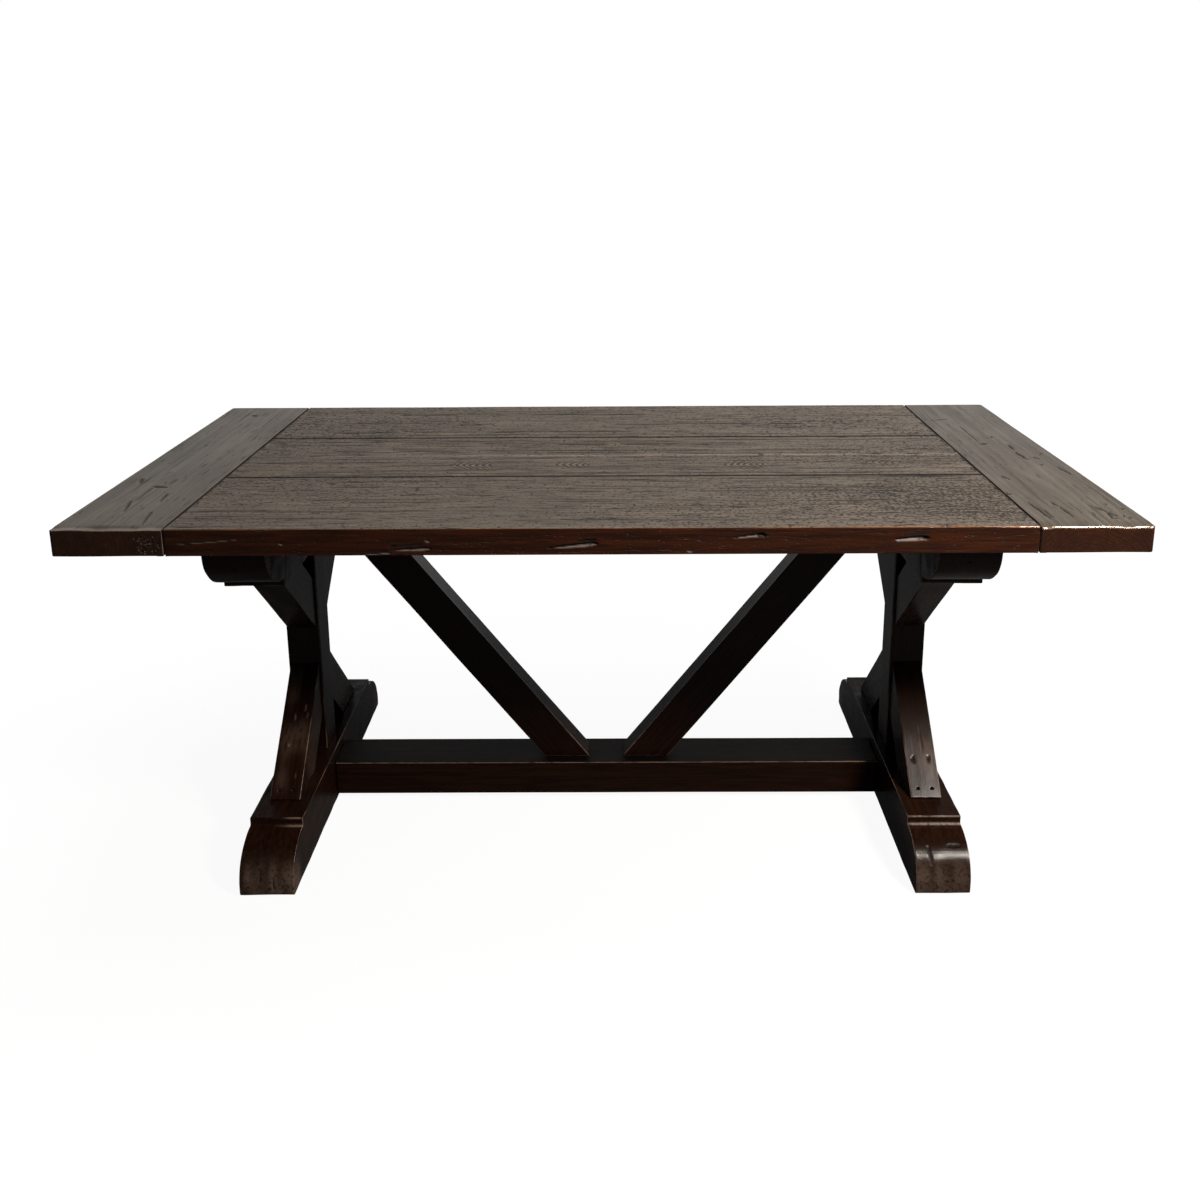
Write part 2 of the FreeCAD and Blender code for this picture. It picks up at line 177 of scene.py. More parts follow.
# A slab between two long edges, with its arrises rounded. Its points are (p, q, w), with w through its
# thickness. A radius is one number, or a function that gives one for each point of the outline.
def slab(lower, upper, across, half, topRadius, underRadius, sideStep, flatUnder=False, arcSteps=4):
    if across[1] > 2 * besideArris:  # one more row beside each arris keeps the broad faces flat up to it
        across = np.sort(np.append(across, [besideArris, 1 - besideArris]))
    n, m = len(lower), len(across)  # points along each long edge, and across the slab
    farEnd = lower[-1] + (upper[-1] - lower[-1]) * across[1:-1, None]
    nearEnd = lower[0] + (upper[0] - lower[0]) * across[1:-1, None]
    outline = np.vstack([lower, farEnd, upper[::-1], nearEnd[::-1]])
    ahead = np.roll(outline, -1, 0) - outline
    ahead /= np.linalg.norm(ahead, axis=1)[:, None]
    outAhead = np.c_[ahead[:, 1], -ahead[:, 0]]
    outBehind = np.roll(outAhead, 1, 0)
    outward = (outAhead + outBehind) / (1 + (outAhead * outBehind).sum(1))[:, None]

    def allRound(radius):
        return np.broadcast_to(radius(outline) if callable(radius) else radius, len(outline))

    topRadius, underRadius = allRound(topRadius), allRound(underRadius)

    turns = np.linspace(0, math.pi / 2, arcSteps + 1)
    rows = [(topRadius * (1 - math.sin(turn)), half - topRadius * (1 - math.cos(turn))) for turn in turns]
    lean = list(math.pi / 2 - turns)
    straightRows = max(1, round(2 * half / sideStep))
    for share in np.linspace(0, 1, straightRows + 1)[1:-1]:
        rows.append((0 * topRadius, (half - topRadius) * (1 - share) - (half - underRadius) * share))
        lean.append(0)
    for turn in turns[::-1]:
        rows.append((underRadius * (1 - math.sin(turn)), underRadius * (1 - math.cos(turn)) - half))
        lean.append(turn - math.pi / 2)
    points = [np.c_[outline - outward * inset[:, None], height] for inset, height in rows]
    loop = len(outline)
    level = outward / np.linalg.norm(outward, axis=1)[:, None]
    normals = [np.c_[level * math.cos(turn), np.full(loop, math.sin(turn))] for turn in lean]
    arris = np.zeros((len(rows), loop))
    arris[:arcSteps + 1] = np.sin(2 * turns)[:, None]
    arris[-arcSteps - 1:] = np.sin(2 * turns)[:, None]

    rim = np.full((n, m), -1)
    rim[:, 0] = np.arange(n)
    rim[-1, 1:-1] = n + np.arange(m - 2)
    rim[:, -1] = n + m - 2 + np.arange(n)[::-1]
    rim[0, 1:-1] = 2 * n + m - 2 + np.arange(m - 2)[::-1]

    def cap(row, first):
        edge = points[row]
        shares = across[1:-1][None, :, None]
        inner = edge[rim[1:-1, 0]][:, None] * (1 - shares) + edge[rim[1:-1, -1]][:, None] * shares
        grid = rim + (row % len(rows)) * loop
        grid[1:-1, 1:-1] = first + np.arange((n - 2) * (m - 2)).reshape(n - 2, m - 2)
        return grid, inner.reshape(-1, 3)

    topGrid, topInner = cap(0, len(rows) * loop)
    underGrid = rim + (len(rows) - 1) * loop
    blocks = points + [topInner]
    normals.append(np.full(topInner.shape, (0, 0, 1)))
    if not flatUnder:
        underGrid, underInner = cap(-1, len(rows) * loop + len(topInner))
        blocks.append(underInner)
        normals.append(np.full(underInner.shape, (0, 0, -1)))
    vertices = np.vstack(blocks)

    ring = np.arange(len(rows))[:, None] * loop
    spans = [(0, n), (n - 1, m), (n + m - 2, n), (2 * n + m - 3, m)]
    sideGrids = [ring + (start + np.arange(count)) % loop for start, count in spans]
    grids = [topGrid] + sideGrids + ([] if flatUnder else [underGrid.T])
    strips = []
    if flatUnder:
        for i in range(n - 1):
            left = underGrid[0] if i == 0 else underGrid[i, [0, -1]]
            right = underGrid[-1] if i == n - 2 else underGrid[i + 1, [0, -1]]
            strips.append(list(left) + list(right[::-1]))
    allArris = np.zeros(len(vertices))
    allArris[:arris.size] = arris.ravel()
    return SimpleNamespace(points=vertices, normals=np.vstack(normals), grids=grids, strips=strips,
                           arris=allArris)


# Each patch of a slab gets its own strip of the bake map, so that nothing overlaps there.
bakeLook = {"margin": 8.0, "underShare": 0.25}  # the plain underside needs little room


def bakeMap(shape):
    margin = bakeLook["margin"]

    def spread(grid, axis):
        line = shape.points[grid.take(grid.shape[1 - axis] // 2, axis=1 - axis)]
        steps = np.linalg.norm(np.diff(line, axis=0), axis=1)
        return np.concatenate([[0], np.cumsum(steps)])

    patches = []
    base, widest = margin, 0
    for grid in shape.grids:
        rowsAt, columnsAt = spread(grid, 0), spread(grid, 1)
        turned = rowsAt[-1] > columnsAt[-1]
        wide, tall = (rowsAt, columnsAt) if turned else (columnsAt, rowsAt)
        u, v = np.meshgrid(wide + margin, tall + base, indexing="ij" if turned else "xy")
        patches.append((grid, np.stack([u, v], -1)))
        base += tall[-1] + margin
        widest = max(widest, wide[-1])
    corners = []
    for grid, uv in patches:
        corners.append(np.stack([uv[:-1, :-1], uv[1:, :-1], uv[1:, 1:], uv[:-1, 1:]], 2).reshape(-1, 2))
    if shape.strips:
        flat = shape.points[list(itertools.chain(*shape.strips))][:, :2]
        flat = flat - flat.min(0)
        longFirst = flat if flat[:, 0].max() >= flat[:, 1].max() else flat[:, ::-1]
        squeezed = longFirst * [1, bakeLook["underShare"]]
        corners.append(squeezed + [margin, base])
        base += squeezed[:, 1].max() + margin
        widest = max(widest, squeezed[:, 0].max())
    return np.vstack(corners) / [widest + 2 * margin, base]


# Puts a slab where its node is. pAxis and qAxis say which way its outline's two directions point.
def board(shape, origin, pAxis, qAxis):
    pAxis, qAxis = np.array(pAxis, float), np.array(qAxis, float)
    axes = np.stack([pAxis, qAxis, np.cross(pAxis, qAxis)])
    uv = bakeMap(shape)
    points = shape.points @ axes + np.array(origin, float)
    quads = np.vstack([gridFaces(grid) for grid in shape.grids])
    normals = shape.normals @ axes
    marks = {name: np.zeros(len(points)) for name in markNames}
    return SimpleNamespace(points=points, normals=normals, quads=quads, strips=shape.strips, uv=uv,
                           arris=shape.arris, sink=np.zeros(len(points)), marks=marks)


# Marks that making and years of use left, and some painted light and shade. Most of them sink the surface,
# and the finishes read
# their names: the dark mark is dirt and painted shade, wear is rubbed to brown and is also painted light on
# the base, the pale mark is dust and painted highlight, rough is torn by the saw, and the faded mark has lost
# its red and holds the sheen's tint as painted reflection.
markNames = ("dirtAndPaintedShade", "wearAndPaintedLight", "dustAndPaintedHighlight", "rough", "fadedWithSheenTint")


levelFacing = (0.6, 0.9)  # how far a face turns upwards before it counts as an upper face


def onUpperFace(piece):
    return easeBetween(*levelFacing, piece.normals[:, 2])


def addMark(piece, name, amount):
    piece.marks[name] = np.maximum(piece.marks[name], amount)


def cutInto(piece, inside, depth, dirtAndPaintedShade):
    piece.sink += depth * inside
    addMark(piece, "dirtAndPaintedShade", dirtAndPaintedShade * inside)


scoopLook = {
    "facing": (0.45, 0.75), "reach": 12, "leastWidth": 0.001, "bends": 2, "highlightShadeLine": (-0.25, 0.05),
}


def scoop(piece, middle, facing, along, length, width, depth, point=0.0, wander=0.0, dirtAndPaintedShade=0.6, dustAndPaintedHighlight=0.0):
    # a leaf-shaped hollow: point drives its wide end towards along, and wander bends its line. Where dust is
    # given, its lower half is pale, as dust and as a painted highlight, and its upper half is dark as painted
    # shade; otherwise it is dark all over
    look = scoopLook
    facing, along = unit(facing), unit(along)
    offset = piece.points - np.array(middle, float)
    run = offset @ along / (length / 2)
    aside = offset @ np.cross(facing, along) / (width / 2)
    if wander:
        aside = aside + wander * bumps(np.c_[run * look["bends"], 0 * run, 0 * run + middle[0]], 1)
    outline = np.sqrt(np.clip(1 - run * run, 0, 1)) * (1 + point * run) / (1 + abs(point))
    inside = np.clip(1 - (aside / np.maximum(outline, look["leastWidth"])) ** 2, 0, 1) * (np.abs(run) < 1)
    inside *= easeBetween(*look["facing"], piece.normals @ facing)
    inside *= np.abs(offset @ facing) < width + look["reach"]
    piece.sink += depth * inside
    # the line between the painted highlight below and the painted shade above
    low = 1 - easeBetween(*look["highlightShadeLine"], aside) if dustAndPaintedHighlight else 0 * aside
    addMark(piece, "dirtAndPaintedShade", dirtAndPaintedShade * np.sqrt(inside) * (1 - low))
    addMark(piece, "dustAndPaintedHighlight", dustAndPaintedHighlight * np.sqrt(inside) * low)


grooveLook = {
    "longSway": 110, "shortSway": 34, "shortShare": 0.4, "breaks": 60, "parted": (-0.45, 0.25), "taper": 18,
    "rimOffset": 2,
}


def groove(piece, start, end, width, depth, bend, seed, dirtAndPaintedShade, rim=0.0):
    # a crack that follows the grain on an upper face, swaying by bend and broken here and there,
    # with a pale rim on its near side
    look = grooveLook
    start, end = np.array(start, float), np.array(end, float)
    length = np.linalg.norm(end - start)
    along = (end - start) / length
    flat = piece.points[:, :2] - start
    run = flat @ along
    aside = flat @ np.array([-along[1], along[0]])
    track = np.c_[run, 0 * run, 0 * run]
    aside = aside - bend * bumps(track, look["longSway"], seed)
    aside = aside - bend * look["shortShare"] * bumps(track, look["shortSway"], seed + 1)
    parted = easeBetween(*look["parted"], bumps(track, look["breaks"], seed + 2))
    ends = easeBetween(0, look["taper"], run) * easeBetween(0, look["taper"], length - run)
    reach = parted * ends * onUpperFace(piece)
    cutInto(piece, np.exp(-(2 * aside / width) ** 2) * reach, depth, dirtAndPaintedShade)
    if rim:
        addMark(piece, "dustAndPaintedHighlight", rim * np.exp(-(2 * aside / width + look["rimOffset"]) ** 2) * reach)


drilledLook = {"rimShare": 0.2, "rimMost": 0.6, "facing": 0.5, "dirtAndPaintedShade": 0.95}


def drilled(piece, middle, facing, radius, depth):  # a round hole, dark inside
    look = drilledLook
    facing = unit(facing)
    offset = piece.points - np.array(middle, float)
    height = offset @ facing
    reach = np.linalg.norm(offset - height[:, None] * facing, axis=1)
    rim = min(look["rimShare"] * radius, look["rimMost"])
    inside = 1 - easeBetween(radius - rim, radius + rim, reach)
    inside *= (np.abs(height) < radius) * (piece.normals @ facing > look["facing"])
    cutInto(piece, inside, depth, look["dirtAndPaintedShade"])


def handWorked(piece, depth, size, seed):  # the slow unevenness of a scraped and sanded face
    piece.sink += depth * (0.5 + 0.5 * bumps(piece.points, size, seed))


wornPatches = (-0.5, 0.6)  # bumps under the first level keep their lacquer, over the second it is gone


def wornArris(piece, look, seed, rubbed):
    # lacquer gone in patches; rubbed is how far it has gone everywhere along the arris
    patches = easeBetween(*wornPatches, bumps(piece.points, look["wearSize"], seed))
    addMark(piece, "wearAndPaintedLight", piece.arris * np.maximum(look["wearAndPaintedLight"] * patches, rubbed))


flatLook = {"leastLean": 0.3, "wornThrough": 0.3}


def wornFlat(piece, drop, facing):
    # the front arris rubbed down to a flat that starts drop mm below the top
    facing = unit(facing)
    worn = piece.points - piece.normals * piece.sink[:, None]
    behindFront = worn[:, 1] - piece.points[:, 1].min()
    proud = behindFront * facing[1] + (worn[:, 2] - topHigh[2] + drop) * facing[2]
    lean = np.maximum(piece.normals @ facing, flatLook["leastLean"])
    cut = np.clip(proud, 0, None) * (drop > 0) / lean
    piece.sink += cut
    addMark(piece, "wearAndPaintedLight", easeBetween(0, flatLook["wornThrough"], cut))


uprightGrain = 0.9  # grain that climbs more steeply than this counts as upright


def finishPiece(piece, node, material, grain, pith, seed):
    points = (piece.points - piece.normals * piece.sink[:, None]) * mm
    mesh = bpy.data.meshes.new(node + "_worn")
    mesh.from_pydata(points, [], piece.quads.tolist() + piece.strips)
    uvLayer = mesh.uv_layers.new(name="OFBake")
    uvLayer.data.foreach_set("uv", piece.uv.ravel())
    along = unit(grain)
    side = unit(np.cross(up, along) if abs(along[2]) < uprightGrain else (1, 0, 0))
    axes = np.stack([along, side, np.cross(along, side)])
    middle = piece.points.mean(0) * mm
    grainPlace = (points - middle) @ axes.T - np.array([0, pith[0], pith[1]]) * mm
    grainPlace[:, 0] += seed * grainStride
    layer = mesh.attributes.new("grain", "FLOAT_VECTOR", "POINT")
    layer.data.foreach_set("vector", grainPlace.ravel())
    for name, amount in piece.marks.items():
        layer = mesh.attributes.new(name, "FLOAT", "POINT")
        layer.data.foreach_set("value", amount)
    mesh.polygons.foreach_set("use_smooth", np.ones(len(mesh.polygons), bool))
    mesh.materials.append(material)
    mesh.update()
    worn = bpy.data.objects.new(node + "_worn", mesh)
    bpy.context.collection.objects.link(worn)
    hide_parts(node)
    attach(worn, "root")


# Materials

def toLinear(hexColour):  # from screen values to linear light
    parts = [int(hexColour[i:i + 2], 16) / 255 for i in (1, 3, 5)]
    return (*[c / 12.92 if c <= 0.04045 else ((c + 0.055) / 1.055) ** 2.4 for c in parts], 1)


def addNode(tree, kind, links=None, **settings):
    node = tree.nodes.new("ShaderNode" + kind)
    for name, value in settings.items():
        setattr(node, name, value)
    for socket, value in (links or {}).items():
        if isinstance(value, bpy.types.NodeSocket):
            tree.links.new(value, node.inputs[socket])
        else:
            node.inputs[socket].default_value = value
    return node


def maths(tree, operation, *values):
    return addNode(tree, "Math", dict(enumerate(values)), operation=operation).outputs[0]


def ramped(tree, value, start, end, low=0.0, high=1.0):  # low at start and high at end
    links = {"Value": value, "From Min": start, "From Max": end, "To Min": low, "To Max": high}
    return addNode(tree, "MapRange", links).outputs[0]


def drawnNoise(tree, place, size, detail):  # noise drawn out along the first axis, size in mm
    length, width = size
    stretch = (1 / (length * mm), 1 / (width * mm), 1 / (width * mm))
    drawn = addNode(tree, "VectorMath", {0: place, 1: stretch}, operation="MULTIPLY").outputs[0]
    return addNode(tree, "TexNoise", {"Vector": drawn, "Scale": 1.0, "Detail": detail}).outputs


def mixed(tree, share, under, over):
    return addNode(tree, "Mix", {0: share, 6: under, 7: over}, data_type="RGBA").outputs[2]


def emptyMaterial(name):
    material = bpy.data.materials.new(name)
    material.use_nodes = True
    material.node_tree.nodes.clear()
    return material, material.node_tree


# Stained hardwood under satin lacquer. Stain goes dark in the soft early wood and in every cut of the saw,
# late wood stays lighter and shinier, and the lacquer is rubbed through to brown and polished on the arrises.
ringPeriod = 0.314  # Blender's rings repeat after this many units at a scale of 1


def stainedWood(name, look):
    material, tree = emptyMaterial(name)
    grain = addNode(tree, "Attribute", attribute_name="grain").outputs["Vector"]
    marks = {}
    for mark in markNames:
        marks[mark] = addNode(tree, "Attribute", attribute_name=mark).outputs["Fac"]

    # each layer of the figure is a noise drawn out along the grain and kept between two levels
    layers = {}
    for layer, figure in look["figure"].items():
        noise = drawnNoise(tree, grain, figure["size"], figure["detail"])["Fac"]
        torn = maths(tree, "MULTIPLY_ADD", marks["rough"], figure["torn"], noise)
        layers[layer] = ramped(tree, torn, *figure["levels"])

    # growth rings round the pith, pushed about by slow changes along the board
    sway = drawnNoise(tree, grain, look["swaySize"], look["swayDetail"])["Color"]
    reach = (look["sway"] * mm,) * 3
    bent = addNode(tree, "VectorMath", {0: sway, 1: reach, 2: grain}, operation="MULTIPLY_ADD").outputs[0]
    ringLinks = {"Vector": bent, "Scale": ringPeriod / (look["ringWidth"] * mm),
                 "Distortion": look["ringBend"], "Detail": look["ringDetail"]}
    layers["rings"] = addNode(tree, "TexWave", ringLinks, wave_type="RINGS", rings_direction="X",
                              wave_profile="SAW").outputs["Fac"]

    sums = {"tone": 0.0, "height": 0.0}
    for total in sums:
        for layer, share in look[total].items():
            sums[total] = maths(tree, "MULTIPLY_ADD", layers[layer], share, sums[total])
    tone, height, dark = sums["tone"], sums["height"], marks["dirtAndPaintedShade"]
    for layer, share in look["dark"].items():
        dark = maths(tree, "MAXIMUM", dark, maths(tree, "MULTIPLY", layers[layer], share))

    ramp = addNode(tree, "ValToRGB", {"Fac": tone})
    ramp.color_ramp.elements[0].color = toLinear(look["darkColour"])
    ramp.color_ramp.elements[1].color = toLinear(look["lightColour"])
    ramp.color_ramp.elements.new(0.5).color = toLinear(look["colour"])
    fadedSheenTintTone = mixed(tree, tone, toLinear(look["fadedSheenTintDark"]), toLinear(look["fadedSheenTintLight"]))
    rubAndPaintedLight = maths(tree, "MULTIPLY", marks["wearAndPaintedLight"], layers["rubs"])
    # the worn coat also lightens the base where light is painted, the pale coat paints highlights and the
    # dark coat paints shade
    coats = [(marks["fadedWithSheenTint"], fadedSheenTintTone), (rubAndPaintedLight, toLinear(look["wornAndLitColour"])),
             (marks["dustAndPaintedHighlight"], toLinear(look["dustAndHighlightColour"])), (dark, toLinear(look["dirtAndShadeColour"]))]
    colour = ramp.outputs["Color"]
    for share, coat in coats:
        colour = mixed(tree, share, colour, coat)

    # late wood is shinier, rubbed arrises are polished and dark cuts are dull
    roughness = look["roughness"]
    changes = [(tone, -look["roughnessSpread"]), (marks["wearAndPaintedLight"], -look["polish"]), (dark, look["dulling"])]
    for share, change in changes:
        roughness = maths(tree, "MULTIPLY_ADD", share, change, roughness)
    bump = addNode(tree, "Bump", {"Height": height, "Distance": look["relief"] * mm, "Strength": 1.0})
    shader = addNode(tree, "BsdfPrincipled", {
        "Base Color": colour, "Roughness": roughness, "IOR": look["refraction"], "Normal": bump.outputs[0],
        "Specular IOR Level": look["specular"]})
    addNode(tree, "OutputMaterial", {"Surface": shader.outputs[0]})
    return material


# sizes are length along the grain and width across it, in mm; torn is how far rough wood raises the noise.
# Real pores are under half a millimetre wide: fibres and dashes are drawn coarser here, so that they show.
sawnTop = {
    "colour": "#341708", "darkColour": "#1c0a04", "lightColour": "#4b2410",
    # the faded colours are stain faded by the sun, with the grey-green tint of the sheen painted in as
    # reflection
    "fadedSheenTintDark": "#18110a", "fadedSheenTintLight": "#68563f",
    "wornAndLitColour": "#8a4f26", "dustAndHighlightColour": "#9a8f86", "dirtAndShadeColour": "#0d0907",
    "figure": {
        "streaks": {"size": (520, 13), "detail": 2.0, "levels": (0.3, 0.7), "torn": 0.0},
        "blotches": {"size": (240, 90), "detail": 2.0, "levels": (0.3, 0.7), "torn": 0.0},
        "ridges": {"size": (90, 6.5), "detail": 3.0, "levels": (0.4, 0.6), "torn": 0.0},
        "fibres": {"size": (45, 2.0), "detail": 3.0, "levels": (0.33, 0.67), "torn": 0.0},
        "dashes": {"size": (38, 5.0), "detail": 2.0, "levels": (0.67, 0.71), "torn": 0.1},
        "ticks": {"size": (7, 6.0), "detail": 2.0, "levels": (0.66, 0.70), "torn": 0.17},
        "rubs": {"size": (25, 6), "detail": 2.0, "levels": (0.25, 0.5), "torn": 0.0},
    },
    "ringWidth": 7, "ringBend": 1.5, "ringDetail": 2.0, "swaySize": (420, 60), "swayDetail": 1.0, "sway": 22,
    "tone": {"streaks": 0.22, "blotches": 0.12, "ridges": 0.36, "fibres": 0.15, "rings": 0.15},
    "height": {"ridges": 0.35, "fibres": 0.12, "rings": 0.1, "dashes": -0.9, "ticks": -0.9},
    "dark": {"dashes": 0.9, "ticks": 0.75},
    "roughness": 0.45, "roughnessSpread": 0.14, "polish": 0.28, "dulling": 0.45,
    "relief": 1.0, "specular": 0.36, "refraction": 1.5,
}
planedTop = dict(
    sawnTop,
    colour="#341b0f", darkColour="#1c0e08", lightColour="#4b2a19",
    # faded colours with the sheen's grey-green tint painted in as reflection, as for the sawn boards
    fadedSheenTintDark="#292219", fadedSheenTintLight="#5f5445", wornAndLitColour="#7f6650",
    tone={"streaks": 0.27, "blotches": 0.24, "ridges": 0.12, "fibres": 0.1, "rings": 0.27},
    height={"ridges": 0.25, "fibres": 0.12, "rings": 0.15, "dashes": -0.5}, dark={"dashes": 0.4},
    relief=0.35,
)
lacqueredBase = dict(
    sawnTop,
    colour="#25140c", darkColour="#150a06", lightColour="#331c11",
    wornAndLitColour="#a58c7c", dirtAndShadeColour="#080504",
    ringWidth=8, swaySize=(350, 50), sway=16,
    height={"fibres": 0.3, "rings": 0.2, "dashes": -0.15}, dark={"dashes": 0.12},
    roughness=0.27, roughnessSpread=0.08, polish=0.05, relief=0.2, specular=0.2,
)
sawnWood = stainedWood("hardwood_sawn_stained", sawnTop)
planedWood = stainedWood("hardwood_planed_stained", planedTop)
baseWood = stainedWood("hardwood_lacquered_dark", lacqueredBase)
print("wood finishes made")


# Bare beech pegs and dowels, turned on a lathe: pale, close-grained, with short brown flecks.
beechLook = {
    "colour": "#c9a87c", "fleckColour": "#9a7448", "fleckSize": (5, 0.8), "fleckDetail": 2.0,
    "fleckLevels": (0.35, 0.55), "relief": 0.1, "roughness": 0.55,
}


def turnedBeech(look):
    material, tree = emptyMaterial("beech_turned")
    place = addNode(tree, "TexCoord").outputs["Object"]
    flecks = drawnNoise(tree, place, look["fleckSize"], look["fleckDetail"])["Fac"]
    ramp = addNode(tree, "ValToRGB", {"Fac": flecks})
    stops = zip(ramp.color_ramp.elements, look["fleckLevels"], (look["fleckColour"], look["colour"]))
    for stop, level, colour in stops:
        stop.position = level
        stop.color = toLinear(colour)
    bump = addNode(tree, "Bump", {"Height": flecks, "Distance": look["relief"] * mm})
    shader = addNode(tree, "BsdfPrincipled", {
        "Base Color": ramp.outputs["Color"], "Roughness": look["roughness"], "Normal": bump.outputs[0]})
    addNode(tree, "OutputMaterial", {"Surface": shader.outputs[0]})
    return material


# Zinc-plated steel, turned and tumbled: a dull blue-grey with cloudy patches in its shine.
zincLook = {
    "colour": "#a9adb0", "darkColour": "#7d8286", "roughness": 0.35, "roughnessSpread": 0.2,
    "cloudSize": 6, "cloudDetail": 3.0, "cloudLevels": (0.3, 0.7),
}


def platedSteel(look):
    material, tree = emptyMaterial("steel_zinc_plated")
    place = addNode(tree, "TexCoord").outputs["Object"]
    links = {"Vector": place, "Scale": 1 / (look["cloudSize"] * mm), "Detail": look["cloudDetail"]}
    clouds = addNode(tree, "TexNoise", links).outputs["Fac"]
    colour = mixed(tree, clouds, toLinear(look["darkColour"]), toLinear(look["colour"]))
    dullest = look["roughness"] + look["roughnessSpread"]
    roughness = ramped(tree, clouds, *look["cloudLevels"], look["roughness"], dullest)
    shader = addNode(tree, "BsdfPrincipled", {"Base Color": colour, "Roughness": roughness, "Metallic": 1.0})
    addNode(tree, "OutputMaterial", {"Surface": shader.outputs[0]})
    return material


fixingFinishes = {"bare_wood": turnedBeech(beechLook), "plated_steel": platedSteel(zincLook)}
fixings = {
    "bare_wood": ["plank_splines", "breadboard_pegs", "brace_dowels", "strut_dowels"],
    "plated_steel": ["top_screws", "brace_screws", "strut_screws", "stretcher_bolts", "stretcher_washers",
                     "stretcher_nuts"],
}
for finish, names in fixings.items():
    for name in names:
        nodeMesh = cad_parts[name].data
        nodeMesh.materials.clear()
        nodeMesh.materials.append(fixingFinishes[finish])
print("pegs, dowels, screws and bolts finished")


# Top boards: four planks between the breadboard ends
plankLook = {
    "cellX": 5.5, "cellY": 2.1, "cellSide": 2.0, "cellChip": 2.5, "cellEye": 2.0, "chipMargin": 3,  # mesh
    "gap": 0.8, "jointRadius": 5.0, "endRadius": 2.5, "edgeRadius": 2.3, "underRadius": 2.0,
    "underJoint": 0.7, "cornerRadius": 3.2, "cornerRun": 9, "outerReach": 8,
    "flatDrop": 3.0, "flatFrom": (520, 735), "flatFacing": (0, -0.83, 0.56),
    "faceDepth": 0.7, "faceSize": (230, 110, 90), "patchSize": (330, 120, 80), "patchLevels": (-0.35, 0.45),
    "sawDepth": 0.5, "sawSize": (4.6, 17, 40), "sawLevels": (0.05, 0.75),
    "dashDepth": 0.35, "dashSize": (46, 7, 40), "dashLevels": (0.3, 0.7),
    "rightward": (-100, 650), "rightPaintedHighlight": 0.09,  # the right half is torn more, and is painted paler as a highlight where more light falls
    "rough": 0.32, "roughPatches": 0.2, "roughTorn": 0.35,
    "tearFront": 0.35, "tearOthers": 0.22, "tearLeast": 0.4, "tearPatches": 0.6,
    "lineCount": 18, "lineWidth": 4.2, "lineDepth": 0.8, "lineBend": 4, "lineDirt": (0.5, 1.0),
    "lineReach": (150, 600), "lineMargin": 10, "lineSlant": 8, "lineDepths": (0.5, 1),
    # where the draws start, and how many seeds each plank has for its lines and cracks
    "drawSeed": 70, "lineSeeds": 40, "crackSeed": 200, "crackSeeds": 10,
    "crackDirt": 1.0, "crackRim": 0.3, "splitWander": 0.35, "splitDirt": 0.95,
    "chipPaintedShade": 0.9, "chipPaleHighlight": 0.8, "highlightPerDepth": 0.5,
    "nickTilt": 0.08, "nickPoint": 0.3, "nickWander": 0.3,
    "wearAndPaintedLight": 0.9, "wearSize": 60, "wearLeft": 0.4, "wearRight": 0.6,
    "rubbed": 0.35, "rubbedMore": 0.65, "rubbedFrom": (430, 620), "paleArris": 0.35,
}
plankRows = {
    "plank_front": (-topHigh[1], -middleBoard), "plank_middle_front": (-middleBoard, 0),
    "plank_middle_back": (0, middleBoard), "plank_back": (middleBoard, topHigh[1]),
}
topMiddle = (topLow[2] + topHigh[2]) / 2
topHalf = (topHigh[2] - topLow[2]) / 2

# Splits and hollows in the sawn faces: x, y, length, width, depth
plankSplits = {
    "plank_front": [(-345, -291, 62, 6, 2.0), (-227, -293, 82, 7, 2.4), (106, -298, 26, 7, 1.8),
                    (-229, -435, 22, 7, 1.6), (420, -232, 40, 6, 1.5), (250, -360, 30, 6, 1.4)],
    "plank_middle_front": [(180, -118, 70, 6, 1.6), (520, -75, 50, 6, 1.5)],
    "plank_middle_back": [(520, 40, 60, 7, 1.5), (-420, 62, 70, 7, 1.4)],
    "plank_back": [(210, 342, 90, 8, 1.6), (-300, 300, 80, 8, 1.6), (420, 255, 60, 8, 1.6)],
}
# Long cracks along the grain: start x, start y, end x, end y, width, depth
plankCracks = {
    "plank_front": [(-560, -202, 690, -176, 5, 1.4), (-520, -236, 60, -252, 5, 1.3),
                    (-180, -262, 60, -268, 5, 1.4), (60, -205, 700, -192, 6, 1.2),
                    (330, -169, 738, -170, 7, 1.5), (430, -175, 738, -173, 6, 1.2)],
    "plank_middle_front": [(-700, -30, 300, -22, 6, 1.4), (-260, -52, 420, -46, 5, 1.2),
                           (-500, -138, 560, -146, 5, 1.2), (-120, -96, 330, -100, 5, 1.2)],
    "plank_middle_back": [(-110, 101, 60, 92, 11, 2.4), (30, 100, 130, 97, 13, 3.0),
                          (120, 98, 240, 92, 13, 3.0), (230, 92, 400, 90, 12, 2.6),
                          (-600, 40, 500, 46, 7, 1.3)],
    "plank_back": [(-600, 215, 200, 222, 8, 1.3), (0, 300, 640, 292, 8, 1.3),
                   (-500, 400, 100, 396, 9, 1.3)],
}
# Nested points of figure where the saw cut across the rings: x, y, length, width
plankEyes = {
    "plank_middle_front": [(-266, -78, 100, 72), (-64, -76, 84, 66), (286, -80, 96, 72),
                           (560, -70, 90, 56)],
}
